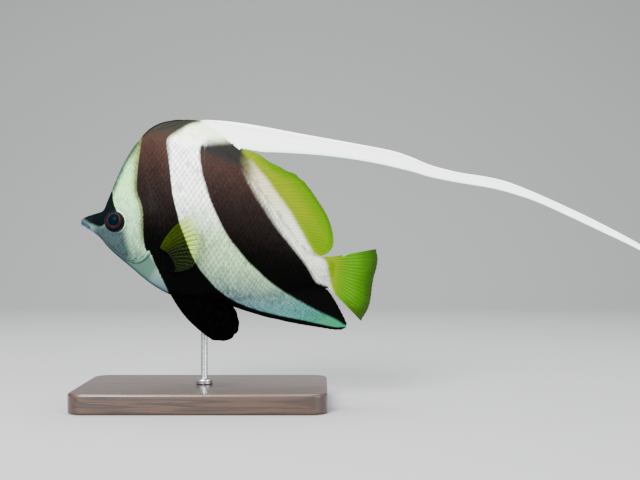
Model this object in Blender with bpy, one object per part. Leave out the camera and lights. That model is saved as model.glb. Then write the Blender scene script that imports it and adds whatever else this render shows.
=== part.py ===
"""Pennant coralfish, life size, swimming nose-up on a plain display stand.

The fish is designed in its own plane and then pitched. Plane coordinates are millimetres: "along" runs from
the snout tip to the tail, "up" is square to it, and "side" is the distance out from the middle plane.
Nearly every piece is a slab: a grid of points in that plane with a half thickness at each. So the body, the
fins on its midline and the pennant share their edges, and meet face to face across one gap.
The fish faces -X, its left flank faces -Y, and the underside of the stand is at Z = 0.
"""

import math
from typing import NamedTuple

import bmesh
import bpy
import numpy as np

MM = 0.001
GAP = 0.3

PEARL = (0.85, 0.86, 0.88)
INK = (0.02, 0.015, 0.015)
YELLOW = (0.62, 0.6, 0.02)
WOOD = (0.07, 0.035, 0.018)
STEEL = (0.6, 0.6, 0.6)

# The fish's plane: its pitch, the snout tip's place, and the sideways sway of the rear

PITCH = math.radians(12.0)
SNOUT_X = -74.0
SNOUT_Z = 112.0
SWAY = 9.0
SWAY_START = 90.0
SWAY_HALF_WAVE = 180.0

# The body: its lengths end at stations, and WIDEST is where a station is broadest, as a share from the keel

BODY_TURNS = 17
HEAD_RINGS = 27
TRUNK_RINGS = 23
STALK_RINGS = 5
WIDEST = 0.55
HEAD_END = 6.3
STALK_START = 17.2
GAP_IN_STATIONS = 0.035

# The eyes, the gill covers and their seats in the head, the lips and the nostrils

EYE_STATION, EYE_TURN = 4.38, 89.0
EYE_RADII = (6.6, 6.6, 4.4)
EYE_SUNK = 2.6
EYE_YAW, EYE_ROLL = math.radians(17.0), math.radians(5.0)

COVER_THICK = 2.4
COVER_TURNS = (72.0, 152.0)
COVER_FRONT = (5.75, 5.35, 5.35, 5.6, 6.0)
SEAT_PAST_TURN, SEAT_PAST_STATION, SEAT_PAST_SKIN = 0.6, 0.6, 6.0
STATION_LENGTH = 9.0

MOUTH_TIP = (0.0, -1.3)
MOUTH_CORNER = (5.7, -3.5)
MOUTH_HALF_WIDTH = 3.7
LIP_TIP_RADIUS, LIP_CORNER_RADIUS = 0.9, 0.45
LIP_LIFT = 0.9
LIP_BACK_POWER, LIP_OUT_POWER, LIP_THIN_POWER = 1.6, 0.8, 1.5
SLIT_FRONT, SLIT_SHORT = -3.0, 0.6
SLIT_HALF_FRONT, SLIT_HALF_REAR = 0.2, 0.08
NOSTRILS = ((2.93, 50.0, 0.6), (2.6, 58.0, 0.45))

# The fins: half thicknesses of the membrane, the soft rays and the spines, and how far the margin dips

FIN_MARGIN = 0.27
FIN_THINNING = 1.5
FIN_ROWS = (0.0, 0.25, 0.55, 0.85, 1.0)
PAIRED_ROWS = (0.0, 0.06, 0.14, 0.3, 0.6, 1.0)
PAIRED_STEPS = 9
RAY_ROOT, RAY_TIP = 0.38, 0.2
SPINE_ROOT, SPINE_TIP = 0.6, 0.3
RAY_HALF_WIDTH = 0.5
RAY_SHARE = 0.3
SPINE_DIP = 0.03

PENNANT_SPINE, PENNANT_SPINE_TIP = 0.85, 0.4
PENNANT_ACROSS = ((0.0, 0.6), (0.1, 1.0), (0.22, 0.4), (0.6, 0.0), (1.0, 0.0))
PENNANT_CUTS = (165.0, 271.0)
PENNANT_RINGS = 22

# The stand

BASE_LENGTH, BASE_WIDTH, BASE_HEIGHT = 150.0, 90.0, 12.0
BASE_CORNER = 10.0
BASE_EDGE = 1.5
ROD_RADIUS = 2.0
COLLAR_RADIUS, COLLAR_HEIGHT, COLLAR_EDGE = 5.0, 3.0, 0.6


class Station(NamedTuple):
    """One row of the body's table of offsets, in millimetres but for the two powers.

    back and keel are the points (along, up) where the station meets the outlines and half is its half width.
    back_edge and keel_edge are the half widths of the flat strips there, as wide as a fin's root. A power of
    1 rounds a flank into its strip as an ellipse does, and 2 draws it out to a wedge. bow is how far the
    station bends towards the tail at mid height, so that one of them follows the edge of the gill covers.
    """

    back: tuple
    keel: tuple
    half: float
    back_edge: float
    keel_edge: float
    back_power: float
    keel_power: float
    bow: float


STATIONS = (
    Station((-0.2, 0.9), (0.2, -1.6), 1.3, 0.5, 0.5, 1.0, 1.0, 0.0),
    Station((2.6, 3.0), (3.3, -4.3), 2.9, 0.7, 0.7, 1.0, 1.0, 0.0),
    Station((6.8, 5.4), (7.6, -5.8), 4.0, 0.8, 0.8, 1.0, 1.0, 0.0),
    Station((10.9, 8.2), (12.6, -8.4), 6.0, 0.8, 0.8, 1.0, 1.0, 0.3),
    Station((12.3, 14.4), (17.6, -12.4), 9.0, 0.8, 0.8, 1.1, 1.0, 3.0),
    Station((13.6, 21.8), (23.0, -15.9), 11.0, 0.9, 0.9, 1.15, 1.05, 9.5),
    Station((15.3, 31.5), (29.0, -19.2), 12.4, 1.0, 0.9, 1.2, 1.1, 18.0),
    Station((18.4, 43.5), (36.0, -22.9), 13.0, 1.0, 1.0, 1.3, 1.1, 21.0),
    Station((23.4, 54.6), (43.4, -26.9), 13.1, 1.2, 1.0, 1.5, 1.1, 18.0),
    Station((31.0, 61.4), (51.2, -30.4), 13.0, 1.5, 1.2, 1.6, 1.1, 14.5),
    Station((42.0, 65.7), (60.2, -33.1), 12.8, 1.5, 1.5, 1.7, 1.15, 10.5),
    Station((55.0, 66.6), (70.0, -34.2), 12.3, 1.5, 1.8, 1.7, 1.2, 6.5),
    Station((68.0, 63.4), (81.0, -33.5), 11.4, 1.5, 1.8, 1.7, 1.3, 3.0),
    Station((81.0, 56.6), (93.0, -30.2), 10.2, 1.5, 1.5, 1.7, 1.6, 1.0),
    Station((95.0, 46.7), (106.0, -26.2), 8.8, 1.5, 1.5, 1.7, 1.7, 0.0),
    Station((109.3, 34.5), (119.0, -21.8), 7.3, 1.5, 1.5, 1.7, 1.7, 0.0),
    Station((122.0, 22.9), (130.5, -17.0), 5.9, 1.5, 1.5, 1.6, 1.6, 0.0),
    Station((133.0, 13.0), (140.0, -12.4), 4.8, 1.5, 1.5, 1.4, 1.4, 0.0),
    Station((141.5, 7.6), (146.5, -9.6), 4.0, 1.4, 1.4, 1.2, 1.2, 0.0),
    Station((151.5, 9.4), (154.5, -8.8), 2.2, 1.2, 1.2, 1.0, 1.0, 0.0),
)
BODY_END = len(STATIONS) - 1.0
SAIL_START, DORSAL_JOINT, DORSAL_END = 8.15, 13.4, 18.3
ANAL_START, ANAL_END = 13.0, 18.3


class Rays(NamedTuple):
    """Where a fin's spines and soft rays stand, as shares of its base from front to rear.

    dips counts the gaps between spines, from the front, where the margin dips towards the body.
    """

    spines: tuple
    dips: int
    first: float
    last: float
    count: int


SAIL_RAYS = Rays((0.02, 0.09, 0.17, 0.30, 0.48, 0.66, 0.84), 2, 0.0, 0.0, 0)
SOFT_DORSAL_RAYS = Rays((0.02, 0.09, 0.16, 0.23), 3, 0.29, 0.985, 24)
ANAL_RAYS = Rays((0.03, 0.12, 0.22), 2, 0.29, 0.985, 18)
TAIL_RAYS = Rays((), 0, 0.02, 0.98, 17)
PECTORAL_RAYS = Rays((0.03,), 0, 0.1, 0.97, 14)
PELVIC_RAYS = Rays((0.05,), 0, 0.2, 0.95, 5)


class MedianFin(NamedTuple):
    """A fin on the middle plane.

    A ray that starts at share t of the base ends at share t to the power lead of the edge, so a lead under 1
    leans the rays back. bend bows them, in millimetres at the first ray and at the last. early holds extra
    columns, as shares of the base, where the margin leaves the body in a tight curve.
    """

    name: str
    rays: Rays
    root_half: float
    lead: float
    bend: tuple
    early: tuple = ()


SAIL = MedianFin("dorsal_fin_spines", SAIL_RAYS, 1.4, 0.42, (0.0, 0.0), (0.001, 0.004, 0.009))
SOFT_DORSAL = MedianFin("dorsal_fin_soft", SOFT_DORSAL_RAYS, 1.4, 0.55, (0.0, 1.0))
ANAL = MedianFin("anal_fin", ANAL_RAYS, 1.4, 0.6, (0.0, 0.0))
TAIL = MedianFin("caudal_fin", TAIL_RAYS, 1.2, 1.0, (0.0, 0.0))


class PairedFin(NamedTuple):
    """A fin that grows out of a flank: its rays leave the skin steeply and then spread away from it.

    root is the station and turn of its first and last ray, which start this far under the skin ("sunk").
    step_out is how far the steep stretch carries them, over step_length, and flare is their slope past it.
    bend bows them, as it does a median fin's.
    """

    name: str
    rays: Rays
    root: tuple
    sunk: float
    step_out: float
    step_length: float
    flare: float
    root_half: float
    bend: tuple


PECTORAL = PairedFin("pectoral_fin_", PECTORAL_RAYS, ((7.36, 126.0), (8.22, 142.0)), 1.2, 5.2, 2.5, 0.34, 1.6,
                     (3.0, 0.0))
PELVIC = PairedFin("pelvic_fin_", PELVIC_RAYS, ((9.75, 166.0), (10.55, 166.0)), 1.0, 1.0, 3.0, 0.28, 1.1,
                   (-2.8, 0.0))

SEAM_FRONT, SEAM_REAR = (60.5, 74.3), (84.6, 62.6)
"""The pennant grows from the sail's margin along this straight line."""

SAIL_EDGE = ((23.9, 56.7), (29.0, 63.8), (36.2, 69.1), (45.0, 72.3), (54.0, 73.9), SEAM_FRONT)
SOFT_DORSAL_EDGE = (
    SEAM_REAR, (94.5, 62.0), (104.3, 58.7), (114.0, 55.9), (123.0, 53.6), (130.5, 48.4), (138.0, 41.4),
    (145.5, 33.4), (150.6, 24.6), (152.6, 17.0), (151.0, 12.2), (147.6, 9.2), (144.0, 8.1),
)
ANAL_EDGE = (
    (92.5, -31.2), (104.6, -33.2), (118.4, -34.6), (130.0, -35.0), (142.2, -34.9), (154.8, -34.4),
    (165.0, -33.8), (169.8, -32.2), (171.0, -29.4), (168.8, -25.8), (164.4, -20.4), (159.6, -14.9),
    (155.0, -10.8),
)
TAIL_EDGE = (
    (178.8, 19.9), (181.0, 14.8), (181.6, 9.0), (181.2, 3.0), (181.4, -3.5), (182.0, -10.0), (181.7, -17.0),
    (178.9, -25.3),
)
PECTORAL_EDGE = (
    (69.7, 19.8), (73.1, 15.0), (75.5, 9.3), (76.8, 3.3), (76.9, -2.9), (75.8, -9.2), (72.4, -14.2),
    (66.6, -17.6), (60.6, -19.0),
)
PELVIC_EDGE = (
    (93.7, -53.7), (99.8, -52.7), (104.3, -50.8), (106.0, -46.7), (104.8, -41.3), (101.8, -36.2),
    (97.5, -32.5),
)
PENNANT_TOP = (
    (57.0, 74.2), (60.5, 75.2), (66.1, 76.1), (75.2, 77.3), (93.7, 78.5), (118.5, 79.1), (146.4, 80.1),
    (174.3, 80.9), (187.1, 79.8), (202.0, 77.3), (219.0, 76.7), (237.3, 77.7), (251.1, 77.2), (270.0, 74.0),
    (290.0, 69.6), (309.0, 64.9), (335.3, 57.2), (362.0, 47.4), (378.0, 40.6),
)
PENNANT_FOOT = (
    (84.6, 62.9), (98.8, 63.6), (109.0, 65.4), (136.2, 69.3), (163.8, 71.3), (188.9, 71.2), (202.5, 70.3),
    (220.1, 70.6), (238.6, 71.5), (252.4, 71.2), (270.6, 69.1), (290.5, 64.8), (309.6, 60.2), (336.0, 53.6),
    (361.0, 45.2), (378.0, 38.9),
)


def curve_at(points, at):
    """Points of the smooth curve through the given ones, a Catmull-Rom spline, at steps counted from 0."""
    points = np.asarray(points, float)
    at = np.clip(np.asarray(at, float), 0, len(points) - 1)
    first = np.minimum(at.astype(int), len(points) - 2)
    t = (at - first)[..., None]
    more = np.vstack([2 * points[0] - points[1], points, 2 * points[-1] - points[-2]])
    a, b, c, d = (more[first + k] for k in range(4))
    return 0.5 * (2 * b + (c - a) * t + (2 * a - 5 * b + 4 * c - d) * t**2 + (3 * b - a - 3 * c + d) * t**3)


def share_of(track, share):
    """Points of a polyline at shares of its length."""
    run = np.concatenate([[0], np.cumsum(np.linalg.norm(np.diff(track, axis=0), axis=1))])
    at = np.asarray(share) * run[-1]
    return np.stack([np.interp(at, run, track[:, k]) for k in range(track.shape[1])], axis=-1)


def smooth_track(points, per_step=12):
    """The smooth curve through some points, as a polyline with so many stretches a step."""
    return curve_at(points, np.linspace(0, len(points) - 1, per_step * (len(points) - 1) + 1))


def body_at(station, turn, grow=0.0):
    """Along, up and half width of the body's surface, where turn is 0 at the back and 180 at the keel."""
    table = np.array([(*s.back, *s.keel, *s[2:]) for s in STATIONS])
    station, turn = np.broadcast_arrays(np.asarray(station, float), np.radians(turn))
    row = curve_at(table, station)
    back, keel = row[..., 0:2], row[..., 2:4]
    half, back_edge, keel_edge, back_power, keel_power, bow = np.moveaxis(row[..., 4:], -1, 0)
    upper = turn <= math.pi / 2
    down = np.where(upper, (1 - np.cos(turn)) * (1 - WIDEST), 1 - WIDEST - np.cos(turn) * WIDEST)
    chord = keel - back
    length = np.linalg.norm(chord, axis=-1)
    stretch = (1 + 2 * grow / length) * (down - 0.5) + 0.5
    point = back + chord * stretch[..., None]
    bulge = np.sin(turn).clip(0)
    along = point[..., 0] + bow * bulge
    edge = np.where(upper, back_edge, keel_edge)
    side = edge + (half - edge) * bulge ** np.where(upper, back_power, keel_power) + grow
    return along, point[..., 1], side


def placed(along, up, side):
    """Plane coordinates and distances from the middle plane, as points of the part in metres."""
    past = (np.asarray(along) - SWAY_START).clip(0)
    sway = SWAY * (1 - np.cos(math.pi * past / SWAY_HALF_WAVE)) / 2
    x = SNOUT_X + along * math.cos(PITCH) + up * math.sin(PITCH)
    z = SNOUT_Z - along * math.sin(PITCH) + up * math.cos(PITCH)
    return MM * np.stack(np.broadcast_arrays(x, side + sway, z), axis=-1)


def ringed(name, rings):
    """A closed mesh over rings of points, one after another, capped at both ends."""
    rows, columns = rings.shape[:2]
    index = np.arange(rows * columns).reshape(rows, columns)
    after = np.roll(index, -1, axis=1)
    quads = np.stack([index[:-1], index[1:], after[1:], after[:-1]], axis=-1).reshape(-1, 4)
    faces = [tuple(face) for face in (*quads.tolist(), index[0].tolist(), index[-1, ::-1].tolist())]
    return new_object(name, rings, faces)


def new_object(name, points, faces):
    """A closed mesh object with its faces turned outwards."""
    mesh = bpy.data.meshes.new(name)
    mesh.from_pydata(points.reshape(-1, 3).tolist(), [], faces)
    shell = bmesh.new()
    shell.from_mesh(mesh)
    bmesh.ops.recalc_face_normals(shell, faces=shell.faces)
    shell.to_mesh(mesh)
    shell.free()
    obj = bpy.data.objects.new(name, mesh)
    bpy.context.scene.collection.objects.link(obj)
    return obj


def slab(name, along, up, half, middle=0.0):
    """A closed slab over a grid of the plane, with both faces split into triangles alike."""
    rows, columns = along.shape
    index = np.arange(rows * columns).reshape(rows, columns)
    a, b, c, d = index[:-1, :-1], index[1:, :-1], index[1:, 1:], index[:-1, 1:]
    split = np.concatenate([np.stack(corner, axis=-1).reshape(-1, 3) for corner in ((a, b, c), (a, c, d))])
    rim = np.concatenate([index[:-1, 0], index[-1, :-1], index[:0:-1, -1], index[0, :0:-1]])
    after, far = np.roll(rim, -1), rows * columns
    faces = [tuple(face) for face in split.tolist()]
    faces += [tuple(face) for face in (split[:, ::-1] + far).tolist()]
    faces += [tuple(face) for face in np.stack([rim, rim + far, after + far, after], axis=-1).tolist()]
    points = np.concatenate([placed(along, up, middle - half), placed(along, up, middle + half)])
    return new_object(name, points, faces)


def body_length(name, first, last, rings, grow=0.0):
    """The body between two stations, ending in faces that are ruled straight across."""
    station = np.linspace(first, last, rings)[:, None]
    turn = np.linspace(0.0, 180.0, BODY_TURNS)[None, :]
    return slab(name, *body_at(station, turn, grow))


def outline_track(first, last, turn, steps=60):
    """The body's back (turn 0) or keel (turn 180) between two stations, moved out by the gap."""
    along, up, _ = body_at(np.linspace(first, last, steps), turn)
    track = np.stack([along, up], axis=-1)
    ahead = np.gradient(track, axis=0)
    ahead /= np.linalg.norm(ahead, axis=1)[:, None]
    outward = np.stack([-ahead[:, 1], ahead[:, 0]], axis=-1) * (1 if turn == 0 else -1)
    return track + GAP * outward


def comb(rays, base_length, early=()):
    """Columns of a fin, as shares of its base: three for each ray, and one between two spines.

    Returns the shares, how far each stands out as a ray and as a spine (0 to 1), and how far it reaches
    towards the margin, which dips between the spines.
    """
    spines = np.array(rays.spines)
    soft = np.linspace(rays.first, rays.last, rays.count)
    centres = np.concatenate([spines, soft])
    width = min(RAY_HALF_WIDTH / base_length, RAY_SHARE * np.diff(centres).min())
    between = (spines[1:] + spines[:-1]) / 2
    plain = np.concatenate([[0.0, 1.0], early, centres - width, centres + width, between])
    shares = np.sort(np.concatenate([plain, centres]))
    dipped = np.isin(shares, between[: rays.dips])
    return shares, np.isin(shares, soft), np.isin(shares, spines), 1 - SPINE_DIP * dipped


def fin_grid(base, edge, columns, rows, bend, lead=1.0, reach=1.0):
    """Plane points of a fan of rays that run from the base to the edge."""
    start, end = share_of(base, columns), share_of(edge, columns**lead)
    ray = end - start
    square = np.stack([-ray[:, 1], ray[:, 0]], axis=-1) / np.linalg.norm(ray, axis=1)[:, None]
    out = rows[None, :] * np.broadcast_to(reach, columns.shape)[:, None]
    bow = np.interp(columns, (0, 1), bend)[:, None] * np.sin(math.pi * out)
    plane = start[:, None] + ray[:, None] * out[..., None] + square[:, None] * bow[..., None]
    return plane[..., 0], plane[..., 1]


def fin_half(root_half, rows, ray, spine):
    """Half thickness of a membrane that thins from its root to its margin, with its rays as ridges."""
    web = FIN_MARGIN + (root_half - FIN_MARGIN) * (1 - rows[None, :]) ** FIN_THINNING
    soft = ray[:, None] * (RAY_ROOT + (RAY_TIP - RAY_ROOT) * rows[None, :])
    stiff = spine[:, None] * (SPINE_ROOT + (SPINE_TIP - SPINE_ROOT) * rows[None, :])
    return web + soft + stiff


def trimmed(track, front, rear):
    """A polyline shortened at its ends by the given lengths."""
    length = np.linalg.norm(np.diff(track, axis=0), axis=1).sum()
    return share_of(track, np.linspace(front / length, 1 - rear / length, 4 * len(track)))


def coloured(obj, colour, roughness, metallic=0.0):
    """Gives an object its own material and smooth shading over its gentle edges."""
    material = bpy.data.materials.new(obj.name)
    material.use_nodes = True
    shader = material.node_tree.nodes["Principled BSDF"]
    shader.inputs["Base Color"].default_value = (*colour, 1.0)
    shader.inputs["Roughness"].default_value = roughness
    shader.inputs["Metallic"].default_value = metallic
    obj.data.materials.append(material)
    obj.data.shade_smooth()
    obj.data.set_sharp_from_angle(angle=math.radians(35))
    return obj


def cut(obj, cutter, operation="DIFFERENCE", solver="EXACT"):
    """Gives an object a Boolean with a cutter, or with a piece to join, which is itself left out."""
    cutter.hide_render = True
    cutter.display_type = "WIRE"
    modifier = obj.modifiers.new(cutter.name, "BOOLEAN")
    modifier.operation = operation
    modifier.solver = solver
    modifier.object = cutter


def ellipsoid(name, centre, radii, yaw, roll, segments=20, rings=12):
    """A closed ball of three radii: along, up and out from the flank it sits in."""
    around = np.linspace(0, 2 * math.pi, segments, endpoint=False)[None, :]
    down = np.linspace(0, math.pi, rings + 1)[1:-1, None]
    ball = np.stack(
        np.broadcast_arrays(np.sin(down) * np.cos(around), np.sin(down) * np.sin(around), np.cos(down)),
        axis=-1,
    )
    points = np.vstack([[[0.0, 0.0, 1.0]], ball.reshape(-1, 3), [[0.0, 0.0, -1.0]]]) * radii
    outward = np.array([-math.sin(yaw), math.sin(roll), math.cos(yaw)])
    outward /= np.linalg.norm(outward)
    onward = np.cross([0.0, 1.0, 0.0], outward)
    onward /= np.linalg.norm(onward)
    points = points @ np.stack([onward, np.cross(outward, onward), outward])
    along, up, side = points.T + np.array([[centre[0]], [centre[1]], [abs(centre[2])]])
    ring = 1 + np.arange((rings - 1) * segments).reshape(rings - 1, segments)
    after = np.roll(ring, -1, axis=1)
    last = len(points) - 1
    faces = [(0, int(p), int(q)) for p, q in zip(ring[0], after[0])]
    faces += [(last, int(q), int(p)) for p, q in zip(ring[-1], after[-1])]
    quads = np.stack([ring[:-1], ring[1:], after[1:], after[:-1]], axis=-1).reshape(-1, 4)
    faces += [tuple(quad) for quad in quads.tolist()]
    return new_object(name, placed(along, up, math.copysign(1, centre[2]) * side), faces)


def tube(name, path, radii, sides=8):
    """A closed tube along a path of (along, up, side) points, with its own radius at each."""
    ahead = np.gradient(path, axis=0)
    ahead /= np.linalg.norm(ahead, axis=1)[:, None]
    across = np.cross(ahead, [0.0, 1.0, 0.0])
    across /= np.linalg.norm(across, axis=1)[:, None]
    above = np.cross(across, ahead)
    angle = np.linspace(0, 2 * math.pi, sides, endpoint=False)[None, :, None]
    round_path = across[:, None] * np.cos(angle) + above[:, None] * np.sin(angle)
    ring = path[:, None] + radii[:, None, None] * round_path
    return ringed(name, placed(*np.moveaxis(ring, -1, 0)))


def add_lips(head):
    """Two lips that meet on the mouth line, and the slit between them.

    From the tip to a corner the line runs back and out as powers of its share, and the lips thin likewise.
    """
    turn = np.linspace(-1.0, 1.0, 13)
    share = np.abs(turn)
    along = MOUTH_TIP[0] + (MOUTH_CORNER[0] - MOUTH_TIP[0]) * share**LIP_BACK_POWER
    line = np.interp(along, (MOUTH_TIP[0], MOUTH_CORNER[0]), (MOUTH_TIP[1], MOUTH_CORNER[1]))
    side = MOUTH_HALF_WIDTH * np.sign(turn) * share**LIP_OUT_POWER
    radii = LIP_TIP_RADIUS + (LIP_CORNER_RADIUS - LIP_TIP_RADIUS) * share**LIP_THIN_POWER
    for name, lift in (("upper_lip", LIP_LIFT), ("lower_lip", -LIP_LIFT)):
        cut(head, tube(name, np.stack([along, line + lift * radii, side], axis=-1), radii), "UNION")
    slope = (MOUTH_CORNER[1] - MOUTH_TIP[1]) / (MOUTH_CORNER[0] - MOUTH_TIP[0])
    reach = np.array([[SLIT_FRONT] * 2, [MOUTH_CORNER[0] - SLIT_SHORT] * 2])
    half = np.array([[SLIT_HALF_FRONT, -SLIT_HALF_FRONT], [SLIT_HALF_REAR, -SLIT_HALF_REAR]])
    wide = np.full((2, 2), 3 * MOUTH_HALF_WIDTH)
    cut(head, slab("mouth_slit", reach, MOUTH_TIP[1] + slope * reach + half, wide))


def sign_of(side):
    """The sign of Y on a flank."""
    return -1 if side == "left" else 1


def make_eye(side, grow=0.0):
    """An eyeball or, grown by the gap, the cutter of its socket."""
    along, up, half = (float(value) for value in body_at(EYE_STATION, EYE_TURN))
    name = ("eye_socket_" if grow else "eye_") + side
    centre = (along, up, sign_of(side) * (half - EYE_SUNK))
    return ellipsoid(name, centre, np.array(EYE_RADII) + grow, EYE_YAW, EYE_ROLL)


def make_gill_cover(side, grow=0.0):
    """A gill cover, flush with the cheek, or the cutter of its seat in the head."""
    past = (SEAT_PAST_TURN, SEAT_PAST_STATION, SEAT_PAST_SKIN) if grow else (0, 0, 0)
    past_turn, past_station, past_skin = past
    down = np.linspace(0, 1, 11)[None, :]
    back = np.linspace(0, 1, 8)[:, None]
    turn = COVER_TURNS[0] - past_turn + (COVER_TURNS[1] - COVER_TURNS[0] + 2 * past_turn) * down
    front = np.interp(down, np.linspace(0, 1, len(COVER_FRONT)), COVER_FRONT) - grow / STATION_LENGTH
    rear = HEAD_END - GAP_IN_STATIONS / 2 + past_station
    along, up, half = body_at(front + (rear - front) * back, turn + 0 * back)
    inner, outer = half - COVER_THICK - grow, half + past_skin
    name = ("gill_seat_" if grow else "gill_cover_") + side
    return slab(name, along, up, (outer - inner) / 2, sign_of(side) * (outer + inner) / 2)


def make_head():
    """The head with its lips, sockets, gill cover seats and nostrils."""
    head = body_length("head", 0.0, HEAD_END - GAP_IN_STATIONS / 2, HEAD_RINGS)
    add_lips(head)
    for side in ("left", "right"):
        cut(head, make_eye(side, GAP))
        cut(head, make_gill_cover(side, GAP))
        for number, (station, turn, radius) in enumerate(NOSTRILS):
            along, up, half = (float(value) for value in body_at(station, turn))
            centre = (along, up, sign_of(side) * half)
            cut(head, ellipsoid(f"nostril_{side}_{number}", centre, np.full(3, radius), 0.0, 0.0, 8, 6))
    return head


def track_length(track):
    """A polyline's length."""
    return float(np.linalg.norm(np.diff(track, axis=0), axis=1).sum())


def median_fin(fin, base, edge):
    """A fin's slab between its base on the body and its outer edge."""
    columns, ray, spine, reach = comb(fin.rays, track_length(base), fin.early)
    rows = np.array(FIN_ROWS)
    along, up = fin_grid(base, edge, columns, rows, fin.bend, fin.lead, reach)
    return slab(fin.name, along, up, fin_half(fin.root_half, rows, ray, spine))


def make_sail():
    """The spiny front of the dorsal fin, which carries the pennant on its rear margin."""
    seam = np.linspace(SEAM_FRONT, SEAM_REAR, 13)[1:]
    base = trimmed(outline_track(SAIL_START, DORSAL_JOINT, 0.0), 0.0, GAP / 2)
    return median_fin(SAIL, base, trimmed(np.vstack([smooth_track(SAIL_EDGE), seam]), 0.0, GAP / 2))


def make_soft_dorsal():
    """The soft, yellow rear of the dorsal fin."""
    base = trimmed(outline_track(DORSAL_JOINT, DORSAL_END, 0.0), GAP / 2, 0.0)
    return median_fin(SOFT_DORSAL, base, trimmed(smooth_track(SOFT_DORSAL_EDGE), GAP / 2, 0.0))


def make_anal_fin():
    """The anal fin, which carries the belly's outline on to a point."""
    return median_fin(ANAL, outline_track(ANAL_START, ANAL_END, 180.0), smooth_track(ANAL_EDGE))


def make_tail_fin():
    """The tail fin, on the rear face of the tail stalk."""
    root = np.array([STATIONS[-1].back, STATIONS[-1].keel]) + [GAP, 0.0]
    return median_fin(TAIL, root, smooth_track(TAIL_EDGE))


def pennant_edges(along):
    """Heights of the pennant's upper and lower edge over a place along the fish."""
    top, foot = smooth_track(PENNANT_TOP), smooth_track(PENNANT_FOOT)
    (front, front_up), (rear, rear_up) = SEAM_FRONT, SEAM_REAR
    slope = (rear_up - front_up) / (rear - front)
    seam = front_up + slope * (along - front) + GAP * math.hypot(1, slope)
    return np.interp(along, *top.T), np.where(along < rear, seam, np.interp(along, *foot.T))


def make_pennant(name, first, last):
    """A length of the pennant: the fourth spine along its upper edge and a membrane below it."""
    along = np.linspace(first, last, PENNANT_RINGS)
    top, foot = pennant_edges(along)
    down, spine = np.array(PENNANT_ACROSS).T
    taper = np.interp(along, (SEAM_FRONT[0], PENNANT_TOP[-1][0]), (PENNANT_SPINE, PENNANT_SPINE_TIP))
    half = FIN_MARGIN + (taper[:, None] - FIN_MARGIN) * spine[None, :]
    up = top[:, None] + (foot - top)[:, None] * down[None, :]
    return slab(name, along[:, None] + 0 * up, up, half)


def make_pennant_lengths():
    """The pennant's three lengths, a gap apart."""
    cuts = (SEAM_FRONT[0] - 1.0, *PENNANT_CUTS, PENNANT_TOP[-1][0])
    for number, name in enumerate(("pennant_root", "pennant_middle", "pennant_tip")):
        first = cuts[number] + (GAP / 2 if number else 0.0)
        last = cuts[number + 1] - (GAP / 2 if number < 2 else 0.0)
        coloured(make_pennant(name, first, last), PEARL, 0.45)


def make_paired_fin(fin, side, edge, cutter):
    """One pectoral or pelvic fin, its root cut back to a gap from the skin that it grows from."""
    along, up, half = body_at(*np.linspace(*fin.root, PAIRED_STEPS).T)
    base = np.stack([along, up], axis=-1)
    columns, ray, spine, reach = comb(fin.rays, track_length(base))
    rows = np.array(PAIRED_ROWS)
    along, up = fin_grid(base, smooth_track(edge), columns, rows, fin.bend, reach=reach)
    away = np.hypot(along - along[:, :1], up - up[:, :1])
    under = np.interp(columns, np.linspace(0, 1, PAIRED_STEPS), half)[:, None] - fin.sunk
    middle = under + fin.step_out * (1 - np.exp(-away / fin.step_length)) + fin.flare * away
    obj = slab(fin.name + side, along, up, fin_half(fin.root_half, rows, ray, spine), sign_of(side) * middle)
    cut(obj, cutter, solver="MANIFOLD")
    return obj


def keel_height():
    """Height above the floor of the body's keel over the middle of the stand."""
    along, up, _ = body_at(np.linspace(0, BODY_END, 400), 180.0)
    x, _, z = placed(along, up, 0.0).T / MM
    return float(np.interp(0.0, x, z))


def make_base():
    """The stand's base: a flat plate with rounded corners and softened edges."""
    quarter = np.repeat(np.arange(4), 7)
    angle = np.radians(np.tile(np.linspace(0, 90, 7), 4) + 90 * quarter)
    middle = np.radians(45 + 90 * quarter)
    reach = np.array([BASE_LENGTH, BASE_WIDTH]) / 2 - BASE_CORNER
    outline = reach * np.sign(np.stack([np.cos(middle), np.sin(middle)], axis=-1))
    outline = outline + BASE_CORNER * np.stack([np.cos(angle), np.sin(angle)], axis=-1)
    base = ringed("stand_base", MM * np.stack([np.insert(outline, 2, z, axis=1) for z in (0.0, BASE_HEIGHT)]))
    bevel = base.modifiers.new("edge", "BEVEL")
    bevel.width = BASE_EDGE * MM
    bevel.segments = 2
    bevel.limit_method = "ANGLE"
    bevel.angle_limit = math.radians(60)
    return base


def make_rod():
    """The stand's rod, from its collar on the base up to the belly: a profile turned about Z."""
    foot, top = BASE_HEIGHT + GAP, keel_height() - GAP
    neck = foot + COLLAR_HEIGHT
    profile = ((COLLAR_RADIUS, foot), (COLLAR_RADIUS, neck - COLLAR_EDGE),
               (COLLAR_RADIUS - COLLAR_EDGE, neck),
               (ROD_RADIUS, neck), (ROD_RADIUS, top))
    radius, height = np.array(profile).T[:, :, None]
    turn = np.linspace(0, 2 * math.pi, 24, endpoint=False)[None, :]
    rings = np.stack(np.broadcast_arrays(radius * np.cos(turn), radius * np.sin(turn), height), axis=-1)
    return ringed("stand_rod", MM * rings)


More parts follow.
